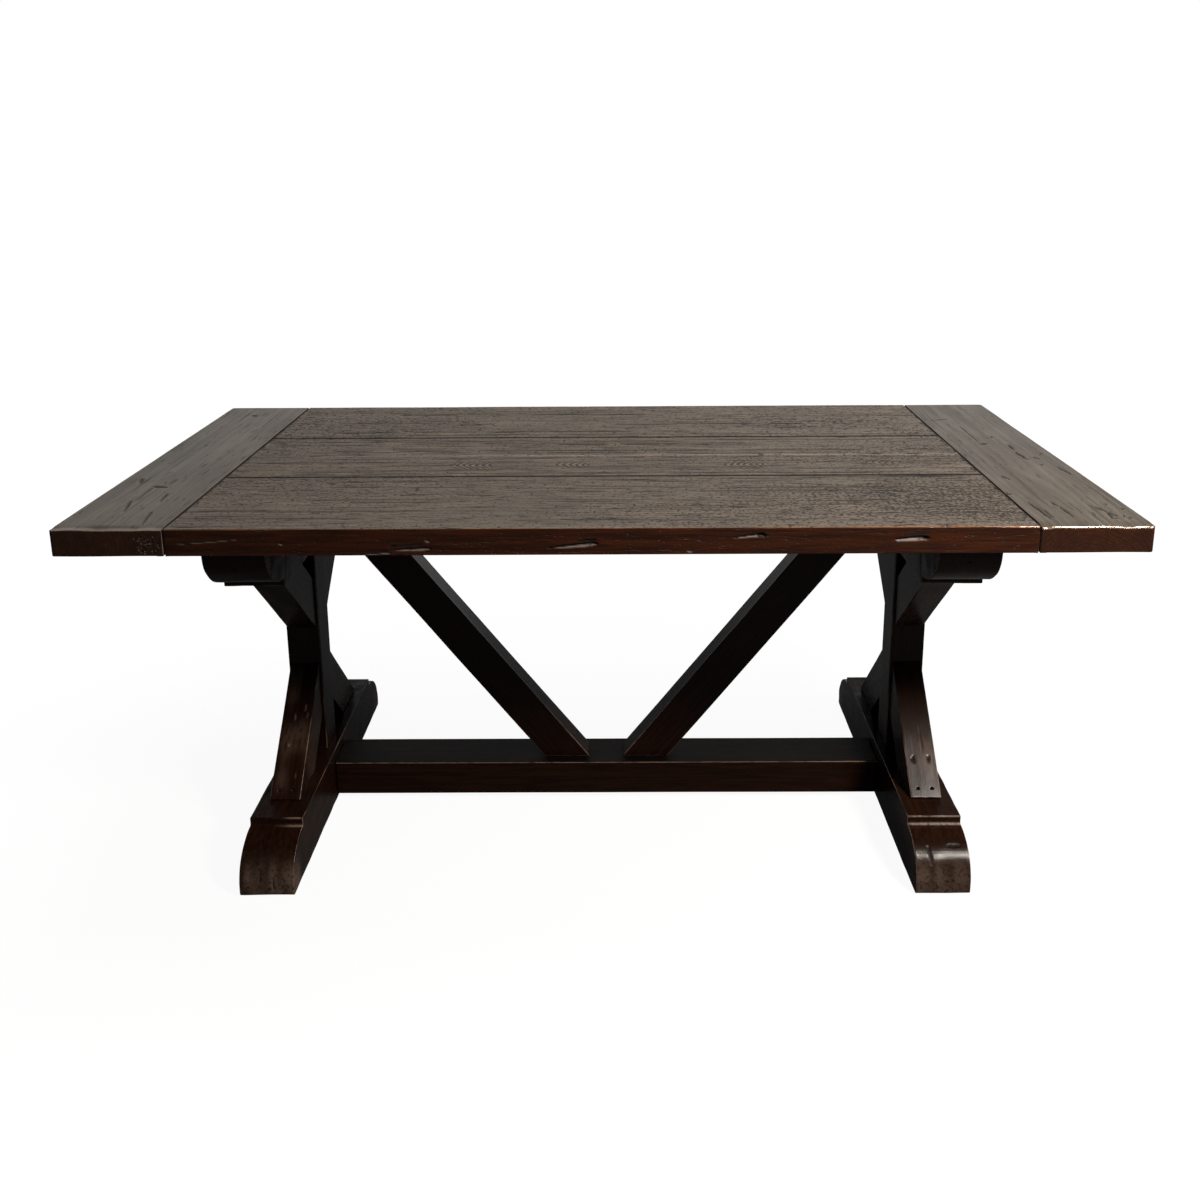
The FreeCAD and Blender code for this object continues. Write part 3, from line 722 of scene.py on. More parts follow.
# Chisel marks in the front edge: x, z, length, height, depth, tilt, which end is wide
frontChips = [(-320, 725, 66, 9, 3.2, 0.05, 0.4), (-374, 718, 48, 5, 1.8, 0.08, 0.2),
              (-52, 730, 94, 13, 4.2, 0.10, 0.9), (246, 746, 56, 10, 3.6, 0.12, 0.9),
              (522, 741, 56, 12, 4.5, 0.08, 0.3), (-665, 740, 114, 5, 0.9, 0.08, 0.2),
              (150, 720, 8, 5, 1.6, 0, 0), (-292, 740, 7, 6, 1.8, 0, 0), (-540, 736, 7, 7, 1.6, 0, 0)]
# Black nicks above the chisel marks, their black painted shade: x, z, length, height, depth
frontNicks = [(-24, 739, 34, 8, 2.6), (270, 748, 16, 11, 2.8), (-322, 732, 44, 5, 1.8),
              (-380, 722, 40, 5, 1.4), (526, 748, 46, 5, 1.8), (546, 741, 12, 9, 2.2),
              (-352, 730, 12, 8, 1.8)]
# Where the saw tore the front plank most
roughPatch = {"middle": (625, -290), "reach": (150, 150), "fade": (0.6, 1.2)}
# Where the log's heart was, across the board and up from its middle
plankPith = {"plank_front": (40, -75), "plank_middle_front": (-15, -42), "plank_middle_back": (7, -60),
             "plank_back": (-2, -60)}


edgeLook = {"wornSize": 70, "wornShare": 0.3, "jointSize": 40, "jointShare": 0.25, "endReach": 3}


def topEdgeRadius(look, isOuter, seed):  # outer arrises are worn unevenly, those at the joints are eased
    def radius(outline):
        places = np.c_[outline, 0 * outline[:, 0]]
        worn = look["edgeRadius"] * (1 + edgeLook["wornShare"] * bumps(places, edgeLook["wornSize"], seed))
        atEnd = np.abs(outline[:, 0]) > boardEnd - edgeLook["endReach"]
        joint = np.where(atEnd, look["endRadius"], look["jointRadius"])
        joint = joint * (1 + edgeLook["jointShare"] * bumps(places, edgeLook["jointSize"], seed + 1))
        return np.where(isOuter(outline), worn, joint)

    return radius


def underEdgeRadius(look):
    def radius(outline):
        atJoint = np.abs(np.abs(outline[:, 0]) - boardEnd) < look["cornerRun"]
        return np.where(atJoint, look["underJoint"], look["underRadius"])

    return radius


def topBoard(look, start, end, near, far, radii, isOuter, seed, fineNear=(), fineFar=()):
    edges = boardEdges(start, end, near, far, radii, look["cornerRun"], look["cellX"], fineNear, fineFar)
    across = stations(0, 1, look["cellY"] / (far - near))
    shape = slab(*edges, across, topHalf, topEdgeRadius(look, isOuter, seed), underEdgeRadius(look),
                 look["cellSide"], flatUnder=True)
    piece = board(shape, (0, 0, topMiddle), (1, 0, 0), (0, 1, 0))
    # upper faces take the faded colour: faded stain, with the sheen's grey-green tint painted in as
    # reflection
    addMark(piece, "fadedWithSheenTint", onUpperFace(piece))
    handWorked(piece, look["faceDepth"], look["faceSize"], seed)
    return piece


waxLevels = (0.05, 0.6)


def waxedJoint(piece, outer, pale=False):  # arrises at the joints are black with old wax, unless pale
    joint = easeBetween(*waxLevels, piece.arris * (piece.points[:, 2] > topMiddle) * ~outer)
    addMark(piece, "dirtAndPaintedShade", joint * (1 - pale))
    return joint


eyeLook = {
    "spacing": 13, "slant": 0.7, "tip": 0.25, "sway": 4.5, "swaySize": (22, 14, 40), "fade": (0.7, 1.05),
    "levels": (0.1, 0.8), "depth": 0.8, "dirtAndPaintedShade": 0.75, "dustAndPaintedHighlight": 0.22,
}


def eye(piece, x, y, length, width):  # nested points of a flat-sawn figure, drawn as shallow dark lines
    look = eyeLook
    lengthwise = (piece.points[:, 0] - x) / (length / 2)
    aside = (piece.points[:, 1] - y) / (width / 2)
    run = (lengthwise - look["slant"] * np.sqrt(aside * aside + look["tip"] ** 2)) * length / 2
    run = run + look["sway"] * bumps(piece.points, look["swaySize"], int(length))
    turn = np.cos(run / look["spacing"] * 2 * math.pi)
    inside = (1 - easeBetween(*look["fade"], np.hypot(lengthwise, aside))) * onUpperFace(piece)
    cutInto(piece, easeBetween(*look["levels"], turn) * inside, look["depth"], look["dirtAndPaintedShade"])
    addMark(piece, "dustAndPaintedHighlight", look["dustAndPaintedHighlight"] * easeBetween(*look["levels"], -turn) * inside)


jointDustLook = {"reach": 1.4, "depth": 6, "left": 0.9, "right": 0.35, "fades": (742, 762)}


def jointDust(piece):  # pale dust in the joints of the front edge, most of it at the left end
    look = jointDustLook
    x, y, z = piece.points.T
    near = np.abs(np.abs(x) - boardEnd) < look["reach"]
    amount = np.where(x < 0, look["left"], look["right"]) * (1 - easeBetween(*look["fades"], z))
    addMark(piece, "dustAndPaintedHighlight", amount * near * (y < topLow[1] + look["depth"]))


def plank(node, near, far, seed):
    look = plankLook
    isFront, isBack = node == "plank_front", node == "plank_back"
    near, far = near + look["gap"] * (not isFront), far - look["gap"] * (not isBack)
    end = boardEnd - look["gap"]

    def isOuter(outline):
        atFront = isFront & (outline[:, 1] < near + look["outerReach"])
        return atFront | (isBack & (outline[:, 1] > far - look["outerReach"]))

    fromEnd = boardEnd - look["cornerRadius"]
    eyes = plankEyes.get(node, [])
    fineSpots = [(x + fromEnd, length / 2, look["cellEye"]) for x, y, length, width in eyes]
    if isFront:
        fineSpots = [(x + fromEnd, length / 2 + look["chipMargin"], look["cellChip"])
                     for x, z, length, *rest in frontChips]
    radii = [look["cornerRadius"]] * 2
    piece = topBoard(look, -end, end, near, far, radii, isOuter, seed, fineSpots, fineSpots)
    points, onTop = piece.points, onUpperFace(piece)

    patches = easeBetween(*look["patchLevels"], bumps(points, look["patchSize"], seed + 2))
    rightward = easeBetween(*look["rightward"], points[:, 0])
    fromPatch = np.abs(points[:, :2] - roughPatch["middle"]) / roughPatch["reach"]
    torn = 1 - easeBetween(*roughPatch["fade"], np.hypot(*fromPatch.T))
    tear = look["tearFront"] if isFront else look["tearOthers"]
    rough = look["rough"] + look["roughPatches"] * patches
    rough = rough + tear * rightward * (look["tearLeast"] + look["tearPatches"] * patches)
    rough = onTop * np.clip(rough + look["roughTorn"] * torn, 0, 1)
    addMark(piece, "rough", rough)
    # painted highlight: the upper faces grow paler towards the right
    addMark(piece, "dustAndPaintedHighlight", look["rightPaintedHighlight"] * rightward * onTop)
    saw = easeBetween(*look["sawLevels"], bumps(points, look["sawSize"], seed + 3)) * rough
    dashes = easeBetween(*look["dashLevels"], bumps(points, look["dashSize"], seed + 4)) * onTop * patches
    piece.sink += look["sawDepth"] * saw + look["dashDepth"] * dashes

    draw = np.random.default_rng(seed + look["drawSeed"])
    for line in range(look["lineCount"]):
        y = draw.uniform(near + look["lineMargin"], far - look["lineMargin"])
        x, reach = draw.uniform(-boardEnd, boardEnd), draw.uniform(*look["lineReach"])
        startX, endX = max(x - reach, -boardEnd), min(x + reach, boardEnd)
        endY = y + draw.uniform(-look["lineSlant"], look["lineSlant"])
        depth = look["lineDepth"] * draw.uniform(*look["lineDepths"])
        groove(piece, (startX, y), (endX, endY), look["lineWidth"], depth, look["lineBend"],
               seed * look["lineSeeds"] + line, draw.uniform(*look["lineDirt"]))
    crackSeeds = itertools.count(look["crackSeed"] + look["crackSeeds"] * seed)
    for x, y, endX, endY, width, depth in plankCracks[node]:
        groove(piece, (x, y), (endX, endY), width, depth, look["lineBend"], next(crackSeeds),
               look["crackDirt"], look["crackRim"])
    for x, y, length, width, depth in plankSplits[node]:
        scoop(piece, (x, y, topHigh[2]), up, (1, 0, 0), length, width, depth, wander=look["splitWander"],
              dirtAndPaintedShade=look["splitDirt"])
    for place in eyes:
        eye(piece, *place)
    if isFront:
        # each chisel mark is painted dark above as shade, and pale below as a highlight on bare wood
        for x, z, length, height, depth, tilt, point in frontChips:
            scoop(piece, (x, near, z), frontward, (1, 0, tilt), length, height, depth, point,
                  dirtAndPaintedShade=look["chipPaintedShade"], dustAndPaintedHighlight=min(look["chipPaleHighlight"], depth * look["highlightPerDepth"]))
        # the nicks are painted black as the shade in each chisel mark's upper wall
        for x, z, length, height, depth in frontNicks:
            scoop(piece, (x, near, z), frontward, (1, 0, look["nickTilt"]), length, height, depth,
                  look["nickPoint"], look["nickWander"], dirtAndPaintedShade=1.0)
    outer = isOuter(points)
    # the arris beyond the middle joint has kept its polish and dust
    pale = (node == "plank_middle_back") * (points[:, 1] < middleBoard / 2)
    joint = waxedJoint(piece, outer, pale)
    addMark(piece, "dustAndPaintedHighlight", look["paleArris"] * joint * pale)
    rubbed = look["rubbed"] + look["rubbedMore"] * easeBetween(*look["rubbedFrom"], points[:, 0])
    wornArris(piece, look, seed + 6, rubbed)
    share = look["wearLeft"] + look["wearRight"] * rightward
    piece.marks["wearAndPaintedLight"] *= outer * share * (points[:, 2] > topMiddle)
    if isFront:
        wornFlat(piece, look["flatDrop"] * easeBetween(*look["flatFrom"], points[:, 0]), look["flatFacing"])
        jointDust(piece)
    finishPiece(piece, node, sawnWood, (1, 0, 0), plankPith[node], seed)


for seed, (node, (near, far)) in enumerate(plankRows.items(), seeds["plank"]):
    plank(node, near, far, seed)
print("planks sawn")


# Breadboard ends, planed smoother, with the grain running front to back
breadboardLook = {
    "cellX": 2.4, "cellY": 3.6, "cellSide": 1.5, "cellHole": 1.2,  # mesh spacing
    "gap": 0.7, "jointRadius": 2.0, "endRadius": 2.0, "edgeRadius": 2.4, "underRadius": 2.5,
    "underJoint": 0.7, "cornerRadius": 6.0, "jointCorner": 2.6, "cornerRun": 12,
    "jointReach": 6, "outerReach": 1,
    "faceDepth": 1.0, "faceSize": (90, 200, 90), "patchSize": (90, 260, 80), "patchLevels": (-0.2, 0.6),
    "dashDepth": 0.4, "dashSize": (5, 60, 40), "dashLevels": (0.42, 0.8), "dashDirt": 0.4,
    "dipReach": 30, "dipFacing": (0.1, 0.6), "flatDrop": 5.0, "rimPaintedSheen": 0.4, "rimSheenLevels": (0.35, 0.75),
    "haze": 0.015, "dentPoint": 0.3, "dentWander": 0.3, "dentDirt": {"left": 0.7, "right": 0.9},
    "wearAndPaintedLight": 0.9, "wearSize": 60, "rubbed": {"left": 0.4, "right": 1.0},
}
# x (outwards from the middle), y, length, width, depth, turn from the grain in degrees
breadboardMarks = {
    "left": [(892, -185, 34, 10, 2.0, 20), (839, -229, 30, 12, 3.0, 70), (851, -354, 70, 6, 1.8, 12),
             (789, -427, 80, 6, 2.0, 10), (847, 399, 20, 14, 2.0, 60), (806, -300, 60, 5, 1.2, 8)],
    "right": [(812, 84, 18, 12, 2.6, 70), (809, 172, 176, 5, 0.8, 0), (862, 51, 48, 8, 2.6, 2),
              (860, -22, 64, 9, 3.2, -4), (884, -40, 20, 7, 1.8, -16), (779, 322, 42, 6, 1.0, 75),
              (774, -188, 30, 7, 1.6, -14), (766, -404, 104, 8, 2.4, -2), (775, -424, 50, 5, 1.4, 0),
              (805, -365, 26, 6, 1.6, -8), (810, -414, 60, 6, 2.0, -3), (875, -401, 36, 8, 2.4, -16),
              (877, -433, 36, 8, 2.6, 10), (879, -452, 16, 6, 1.6, -60), (884, -428, 26, 5, 1.6, -5),
              (735, -301, 30, 16, 2.4, 80), (905, -140, 60, 6, 1.6, -6), (896, -369, 10, 6, 1.6, 0),
              (913, -398, 9, 6, 1.6, 0), (899, -439, 10, 7, 1.8, 20), (904, -450, 10, 7, 1.8, 0),
              (878, -93, 9, 7, 1.6, 0), (906, -4, 9, 7, 1.4, 0), (848, 144, 12, 8, 1.6, 20)],
}
# Dips along the front arris: x, reach, depth
frontDips = {
    "left": [(-926, 14, 1.8), (-850, 22, 3.4), (-820, 20, 1.6), (-789, 16, 2.8), (-744, 14, 1.6)],
    "right": [(746, 12, 2.4), (800, 30, 0.8), (884, 22, 1.8), (926, 12, 1.2)],
}
# Where the log's heart was, as for the planks
breadboardPith = {"left": (54, -6), "right": (20, -70)}
wormHoles = {
    "side": "left", "x": (-786, -744), "z": (720, 751), "reach": 24, "count": 80, "size": (2.0, 3.4),
    "depth": 0.8, "dirtAndPaintedShade": 0.9, "dustAndPaintedHighlight": [0.0, 0.8], "drawSeed": 80,
}


def breadboard(name, side, seed):
    look = breadboardLook
    low, high = sorted([side * (boardEnd + look["gap"]), side * topHigh[0]])
    half = topHigh[1]

    def isOuter(outline):
        pastJoint = np.abs(outline[:, 0]) > boardEnd + look["jointReach"]
        return pastJoint | (np.abs(outline[:, 1]) > half - look["outerReach"])

    radii = [look["jointCorner"], look["cornerRadius"]][::side]
    hasHoles = name == wormHoles["side"]
    holesAt = sum(wormHoles["x"]) / 2 - low - look["cornerRadius"]
    fineSpots = [(holesAt, wormHoles["reach"], look["cellHole"])] if hasHoles else []
    piece = topBoard(look, low, high, -half, half, radii, isOuter, seed, fineSpots)
    points, onTop = piece.points, onUpperFace(piece)
    patches = easeBetween(*look["patchLevels"], bumps(points, look["patchSize"], seed + 2))
    dashes = easeBetween(*look["dashLevels"], bumps(points, look["dashSize"], seed + 4)) * onTop * patches
    cutInto(piece, dashes, look["dashDepth"], look["dashDirt"])
    # the scraped front end dips here and there along its upper arris
    dip = sum(depth * np.exp(-((points[:, 0] - x) / reach) ** 2) for x, reach, depth in frontDips[name])
    nearFront = easeBetween(half - look["dipReach"], half, -points[:, 1])
    piece.sink += dip * nearFront * easeBetween(*look["dipFacing"], piece.normals[:, 2])
    for x, y, length, width, depth, turn in breadboardMarks[name]:
        along = (side * math.sin(math.radians(turn)), math.cos(math.radians(turn)), 0)
        scoop(piece, (side * x, y, topHigh[2]), up, along, length, width, depth, look["dentPoint"],
              look["dentWander"], dirtAndPaintedShade=look["dentDirt"][name])
    if hasHoles:
        draw = np.random.default_rng(seed + wormHoles["drawSeed"])
        for hole in range(wormHoles["count"]):
            place = (draw.uniform(*wormHoles["x"]), -half, draw.uniform(*wormHoles["z"]))
            size = draw.uniform(*wormHoles["size"])
            scoop(piece, place, frontward, (1, 0, 0), size, size, wormHoles["depth"], dirtAndPaintedShade=wormHoles["dirtAndPaintedShade"],
                  dustAndPaintedHighlight=draw.choice(wormHoles["dustAndPaintedHighlight"]))
    outer = isOuter(points)
    waxedJoint(piece, outer)
    wornArris(piece, look, seed + 6, look["rubbed"][name])
    piece.marks["wearAndPaintedLight"] *= outer * (points[:, 2] > topMiddle)
    if name == "right":
        wornFlat(piece, look["flatDrop"] + dip, plankLook["flatFacing"])
    else:
        # painted sheen: a pale band along the left end's front arris, over a faint pale haze
        rim = look["rimPaintedSheen"] * easeBetween(*look["rimSheenLevels"], nearFront) * onTop
        addMark(piece, "dustAndPaintedHighlight", np.maximum(rim, look["haze"]))
    jointDust(piece)
    pith = breadboardPith[name]
    finishPiece(piece, "breadboard_" + name, planedWood, (0, 1, 0), pith, seed)


for name, side in sides.items():
    breadboard(name, side, seeds["breadboard"] + side)
print("breadboard ends planed")


# Base: every member is scraped by hand before it is lacquered
def baseMember(look, edges, across, half, origin, pAxis, qAxis, seed):
    shape = slab(*edges, across, half, look["edgeRadius"], look["edgeRadius"], look["cellSide"])
    piece = board(shape, origin, pAxis, qAxis)
    handWorked(piece, look["faceDepth"], look["faceSize"], seed)
    if "dimpleDepth" in look:
        handWorked(piece, look["dimpleDepth"], look["dimpleSize"], seed + 2)
    return piece


# Feet and bearers: beams with a rounded nose and a small step at each end
beamLook = {
    "cell": 4.0, "cellSide": 2.6, "cellBolt": 1.0, "rowShare": 0.06,  # mesh spacing
    "faceDepth": 0.9, "faceSize": (90, 120, 90), "dimpleDepth": 1.1, "dimpleSize": (26, 30, 22),
    "edgeRadius": 2.4, "stepRadius": 2.6, "hollowRadius": 2.6, "soleRadius": 7.0, "shoulderRun": 12,
    "boltRadius": 12.2, "boltDepth": 14, "boltMargin": 4,
    "wearAndPaintedLight": 0.9, "wearSize": 45, "noseRub": 0.6, "noseFade": (25, 5), "dentWander": 0.4, "dentDirt": 0.9,
    "lipWidth": 2.2, "lipWear": 1.0, "hollowWear": 0.9, "lipSize": 30, "lipLevels": (-0.6, 0.2),
    "scuffAndBounceLight": {-1: 0.6, 1: 0.4}, "scuffLightHeight": (25, 80), "scuffLightReach": (70, 30), "scuffLightSize": (12, 40, 60),
    "pith": {-1: (-15, -40), 1: (15, -40)},
    "foot": {"nose": 90, "step": 16, "toe": 20, "bolted": True},
    "bearer": {"nose": 103, "step": 16, "toe": 18, "bolted": False},
}
noseTurn = 45  # degrees that the lower of a nose's two arcs turns through
noseSteps = (12, 14)
boltHeight = sum(corner[2] for corner in cadCorners("stretcher_bolts")) / 2

# Cracks and dents in the feet: x, y, z, facing, along, length, width, depth
footMarks = {
    1: [(620, -392, 84, (0, -0.8, 0.6), (0.05, -0.5, -1), 62, 5, 1.6),
        (668, -380, 96, (0, -0.6, 0.8), (1, 0, 0), 26, 7, 1.2),
        (652, -330, 100, (0, 0, 1), (1, 0.3, 0), 14, 7, 1.2)],
    -1: [(-629, -407, 24, (0, -1, 0), (0.05, 0, -1), 30, 4, 1.4),
         (-655, -403, 40, (0, -1, 0.2), (0, 0, 1), 24, 4, 0.9)],
}
# Dents in the bearers' noses, the same way
bearerMarks = {
    1: [(643, -424, 676, (0, -1, -0.3), (1, 0, 0), 10, 7, 1.2)],
    -1: [(-644, -422, 667, (0, -1, -0.3), (1, 0, 0), 11, 7, 1.4)],
}


def noseCurve(length, rise):  # two arcs, upright at the toe and level at the top, as the CAD beam has
    bend = math.radians(noseTurn)
    sine, cosine = math.sin(bend), math.cos(bend)
    spread = sine + cosine - 1
    lowRadius = (rise * cosine - length * (1 - sine)) / spread
    highRadius = (length * sine - rise * (1 - cosine)) / spread
    low = arcPoints((length - lowRadius, 0), lowRadius, 0, noseTurn, noseSteps[0])
    high = arcPoints((0, rise - highRadius), highRadius, noseTurn, 90, noseSteps[1])
    return np.vstack([low, high[1:]])


def beamOutline(half, height, form, look):
    # sole first, then the upper side from end to end, with y as p and the height above the sole as q
    shelf = height - form["step"]
    stepAt = half - form["nose"]
    nose = noseCurve(form["nose"], shelf - form["toe"]) + [stepAt, form["toe"]]
    hollow, run = look["hollowRadius"], look["shoulderRun"]
    shoulder = [(stepAt + 2 * hollow, shelf), (stepAt, shelf), (stepAt, height), (stepAt - run, height)]
    shoulder = roundedPath(shoulder, [hollow, look["stepRadius"]], look["cell"])
    back = np.vstack([nose[:-1], shoulder[1:]])
    boltSpot = [(0, look["boltRadius"] + look["boltMargin"], look["cellBolt"])] if form["bolted"] else []
    flat = stations(-stepAt + run, stepAt - run, look["cell"], boltSpot)[1:-1]
    flat = np.c_[flat, np.full(len(flat), height)]
    upper = np.vstack([back * [-1, 1], flat, back[::-1]])
    sole = roundedPath([(-half, form["toe"] / 2), (-half, 0), (half, 0), (half, form["toe"] / 2)],
                       [look["soleRadius"]] * 2, look["cell"])
    return sole, upper


def beam(node, kind, side, seed):
    look, form = beamLook, beamLook[kind]
    isFoot = kind == "foot"
    low, high = cadCorners(node)
    tall, half, middle = high[2] - low[2], (high[0] - low[0]) / 2, (low[0] + high[0]) / 2
    edges = pairChains(*beamOutline(high[1], tall, form, look))
    boltReach = look["boltRadius"] + look["boltMargin"]
    boltSpot = [(boltHeight / tall, boltReach / tall, look["cellBolt"] / tall)] if form["bolted"] else []
    across = stations(0, 1, look["rowShare"], boltSpot)
    sole, upwards = (low[2], 1) if isFoot else (high[2], -1)  # a bearer is a foot turned over
    piece = baseMember(look, edges, across, half, (middle, 0, sole), (0, upwards, 0), (0, 0, upwards), seed)
    height, out = piece.points[:, 2], np.abs(piece.points[:, 1])
    stepAt = high[1] - form["nose"]
    nearNose = easeBetween(stepAt - look["noseFade"][0], stepAt - look["noseFade"][1], out)
    wornArris(piece, look, seed + 1, look["noseRub"] * nearNose)
    # two pale lines across each step, on its lip and in its hollow
    lip = high[2] if isFoot else low[2]
    hollow = lip - form["step"] * upwards
    patches = easeBetween(*look["lipLevels"], bumps(piece.points, look["lipSize"], seed + 5))
    paleLines = [(stepAt, lip, look["lipWear"]), (stepAt + look["hollowRadius"], hollow, look["hollowWear"])]
    for y, z, amount in paleLines:
        line = np.exp(-((out - y) ** 2 + (height - z) ** 2) / look["lipWidth"] ** 2)
        addMark(piece, "wearAndPaintedLight", amount * line * patches)
    marks = footMarks if isFoot else bearerMarks
    for x, y, z, facing, along, length, width, depth in marks[side]:
        scoop(piece, (x, y, z), facing, along, length, width, depth, wander=look["dentWander"],
              dirtAndPaintedShade=look["dentDirt"])
    if isFoot:
        # the noses are scuffed low down, where shoes and mops meet them, and painted lighter there as the
        # light bounced up from the floor
        inward, outward = look["scuffLightReach"]
        atToe = easeBetween(high[1] - inward, high[1] - outward, out)
        scuffAndBounceLight = (1 - easeBetween(*look["scuffLightHeight"], height)) * atToe
        streaks = 0.5 + 0.5 * bumps(piece.points, look["scuffLightSize"], seed + 3)
        addMark(piece, "wearAndPaintedLight", look["scuffAndBounceLight"][side] * scuffAndBounceLight * streaks)
        outerFace = (side * footHigh[0], 0, boltHeight)
        drilled(piece, outerFace, (side, 0, 0), look["boltRadius"], look["boltDepth"])
    finishPiece(piece, node, baseWood, (0, 1, 0), look["pith"][side], seed)


for (name, side), kind in itertools.product(sides.items(), ("foot", "bearer")):
    beam(kind + "_" + name, kind, side, seeds[kind] + side)
print("feet and bearers shaped")


# Posts and the stretcher are squared timbers
timberLook = {
    "cell": 6.0, "cellSide": 6.0,  # mesh spacing
    "edgeRadius": 2.6, "cornerRadius": 3.5, "cornerRun": 9,
    "faceDepth": 0.8, "faceWidth": 90, "faceStretch": 110,  # the unevenness is drawn out along the grain
    "wearAndPaintedLight": 0.8, "wearSize": 45, "topFacing": (0.8, 0.95), "pith": (18, -44),
}
postLook = {"rubbed": 0.15}
stretcherLook = {"rubbed": 0.75, "topDarkening": 0.8}


def timber(node, ends, sidesAt, half, origin, pAxis, qAxis, seed, rubbed, topDarkening=0.0):
    # ends and sidesAt say where it starts and stops along pAxis and qAxis
    look = dict(timberLook)
    low, high = sidesAt
    edges = boardEdges(*ends, low, high, [look["cornerRadius"]] * 2, look["cornerRun"], look["cell"])
    across = stations(0, 1, look["cell"] / (high - low))
    look["faceSize"] = np.abs(pAxis) * look["faceStretch"] + look["faceWidth"]
    piece = baseMember(look, edges, across, half, origin, pAxis, qAxis, seed)
    # the upper faces are darkened and dulled
    addMark(piece, "dirtAndPaintedShade", topDarkening * easeBetween(*look["topFacing"], piece.normals[:, 2]))
    wornArris(piece, look, seed + 1, rubbed * (piece.points[:, 2] > origin[2]))
    finishPiece(piece, node, baseWood, pAxis, look["pith"], seed)


for name, side in sides.items():
    low, high = cadCorners("post_" + name)
    timber("post_" + name, (footHigh[2], bearerLow[2]), (low[0], high[0]), high[1], (0, 0, 0), (0, 0, 1),
           (1, 0, 0), seeds["post"] + side, **postLook)
low, high = cadCorners("stretcher")
timber("stretcher", (-footLow[0], footLow[0]), (low[1], high[1]), (high[2] - low[2]) / 2,
       (0, 0, (low[2] + high[2]) / 2), (1, 0, 0), (0, 1, 0), seeds["stretcher"], **stretcherLook)
print("posts and stretcher squared")


# Braces in the corners of each trestle, with two sunk screws near each toe
braceLook = {
    "cell": 5.0, "cellSide": 1.6, "cellScrew": 1.0, "rowShare": 0.07,  # mesh spacing
    "depth": 84, "edgeRadius": 1.9, "tipRadius": 2.0, "tipLap": 12,
    "faceDepth": 0.7, "faceSize": (80, 110, 110), "dimpleDepth": 0.4, "dimpleSize": (24, 40, 40),
    "screwRise": 22, "screwSpacing": 28, "screwRadius": 2.5, "screwDepth": 4.5, "screwReach": 14,
    "wearAndPaintedLight": 0.9, "wearSize": 40, "rubbed": 0.85, "wornReach": (60, 150), "dentWander": 0.3, "dentDirt": 0.9,
    "paintedFrontLight": 0.14, "paintedFrontLightSize": (30, 70, 70), "paintedFrontLightLevels": (-0.3, 0.5), "pith": (12, -38),
}
# Dents and smudges on the outer faces: distance from the toe, x from the middle, length, width, depth, dust
braceMarks = {
    "brace_right_front_lower": [(82, -15, 10, 7, 1.6, 0.0), (84, 15, 11, 8, 1.6, 0.0),
                                (120, 6, 60, 3, 0.6, 0.0)],
    "brace_left_front_lower": [(196, 14, 16, 9, 0.7, 0.4), (176, -6, 14, 10, 0.7, 0.4),
                               (180, 20, 12, 8, 0.7, 0.35), (116, -8, 7, 6, 0.8, 0.8),
                               (52, 14, 8, 6, 0.8, 0.3), (148, 10, 7, 6, 1.8, 0.0)],
}


def brace(node, face, level, seed):
    look = braceLook
    low, high = cadCorners(node)
    postFace = postHigh[1]
    run, rise = max(abs(low[1]), abs(high[1])) - postFace, high[2] - low[2]
    slope = math.atan2(rise, run)
    innerRun, innerRise = run - look["depth"] / math.sin(slope), rise - look["depth"] / math.cos(slope)
    radii, lap = [look["tipRadius"]] * 2, look["tipLap"]
    screwSpot = [(math.hypot(run, rise) - look["screwRise"], look["screwReach"], look["cellScrew"])]
    inner = roundedPath([(0, innerRise + lap), (0, innerRise), (innerRun, 0), (innerRun + lap, 0)],
                        radii, look["cell"])
    outer = roundedPath([(0, rise - lap), (0, rise), (run, 0), (run - lap, 0)],
                        radii, look["cell"], screwSpot)
    across = stations(0, 1, look["rowShare"])
    seat, upwards = (low[2], 1) if level == "lower" else (high[2], -1)
    half, middle = (high[0] - low[0]) / 2, (low[0] + high[0]) / 2
    piece = baseMember(look, pairChains(inner, outer), across, half, (middle, face * postFace, seat),
                       (0, face, 0), (0, 0, upwards), seed)
    facing = np.array([0, face * math.sin(slope), upwards * math.cos(slope)])
    along = np.array([0, -face * math.cos(slope), upwards * math.sin(slope)])
    toe = np.array([middle, face * (postFace + run), seat])
    for side in (-1, 1):
        place = toe + along * look["screwRise"] + np.array([side * look["screwSpacing"] / 2, 0, 0])
        drilled(piece, place, facing, look["screwRadius"], look["screwDepth"])
    for away, x, length, width, depth, dustAndPaintedHighlight in braceMarks.get(node, []):
        place = toe + along * away + np.array([x, 0, 0])
        scoop(piece, place, facing, along, length, width, depth, wander=look["dentWander"],
              dirtAndPaintedShade=look["dentDirt"] * (dustAndPaintedHighlight == 0), dustAndPaintedHighlight=dustAndPaintedHighlight)
    rubbed = look["rubbed"] * (1 - easeBetween(*look["wornReach"], (piece.points - toe) @ along))
    wornArris(piece, look, seed + 1, rubbed)
    # painted light: every brace is lightened in patches with the worn colour, standing in for light from the
    # front
    paintedFrontLightPatches = easeBetween(*look["paintedFrontLightLevels"], bumps(piece.points, look["paintedFrontLightSize"], seed + 3))
    addMark(piece, "wearAndPaintedLight", look["paintedFrontLight"] * paintedFrontLightPatches)
    finishPiece(piece, node, baseWood, along, look["pith"], seed)


bracePlaces = itertools.product(sides, faces, ("lower", "upper"))
for seed, (name, facing, level) in enumerate(bracePlaces, seeds["brace"]):
    brace("_".join(["brace", name, facing, level]), faces[facing], level, seed)
print("braces fitted")


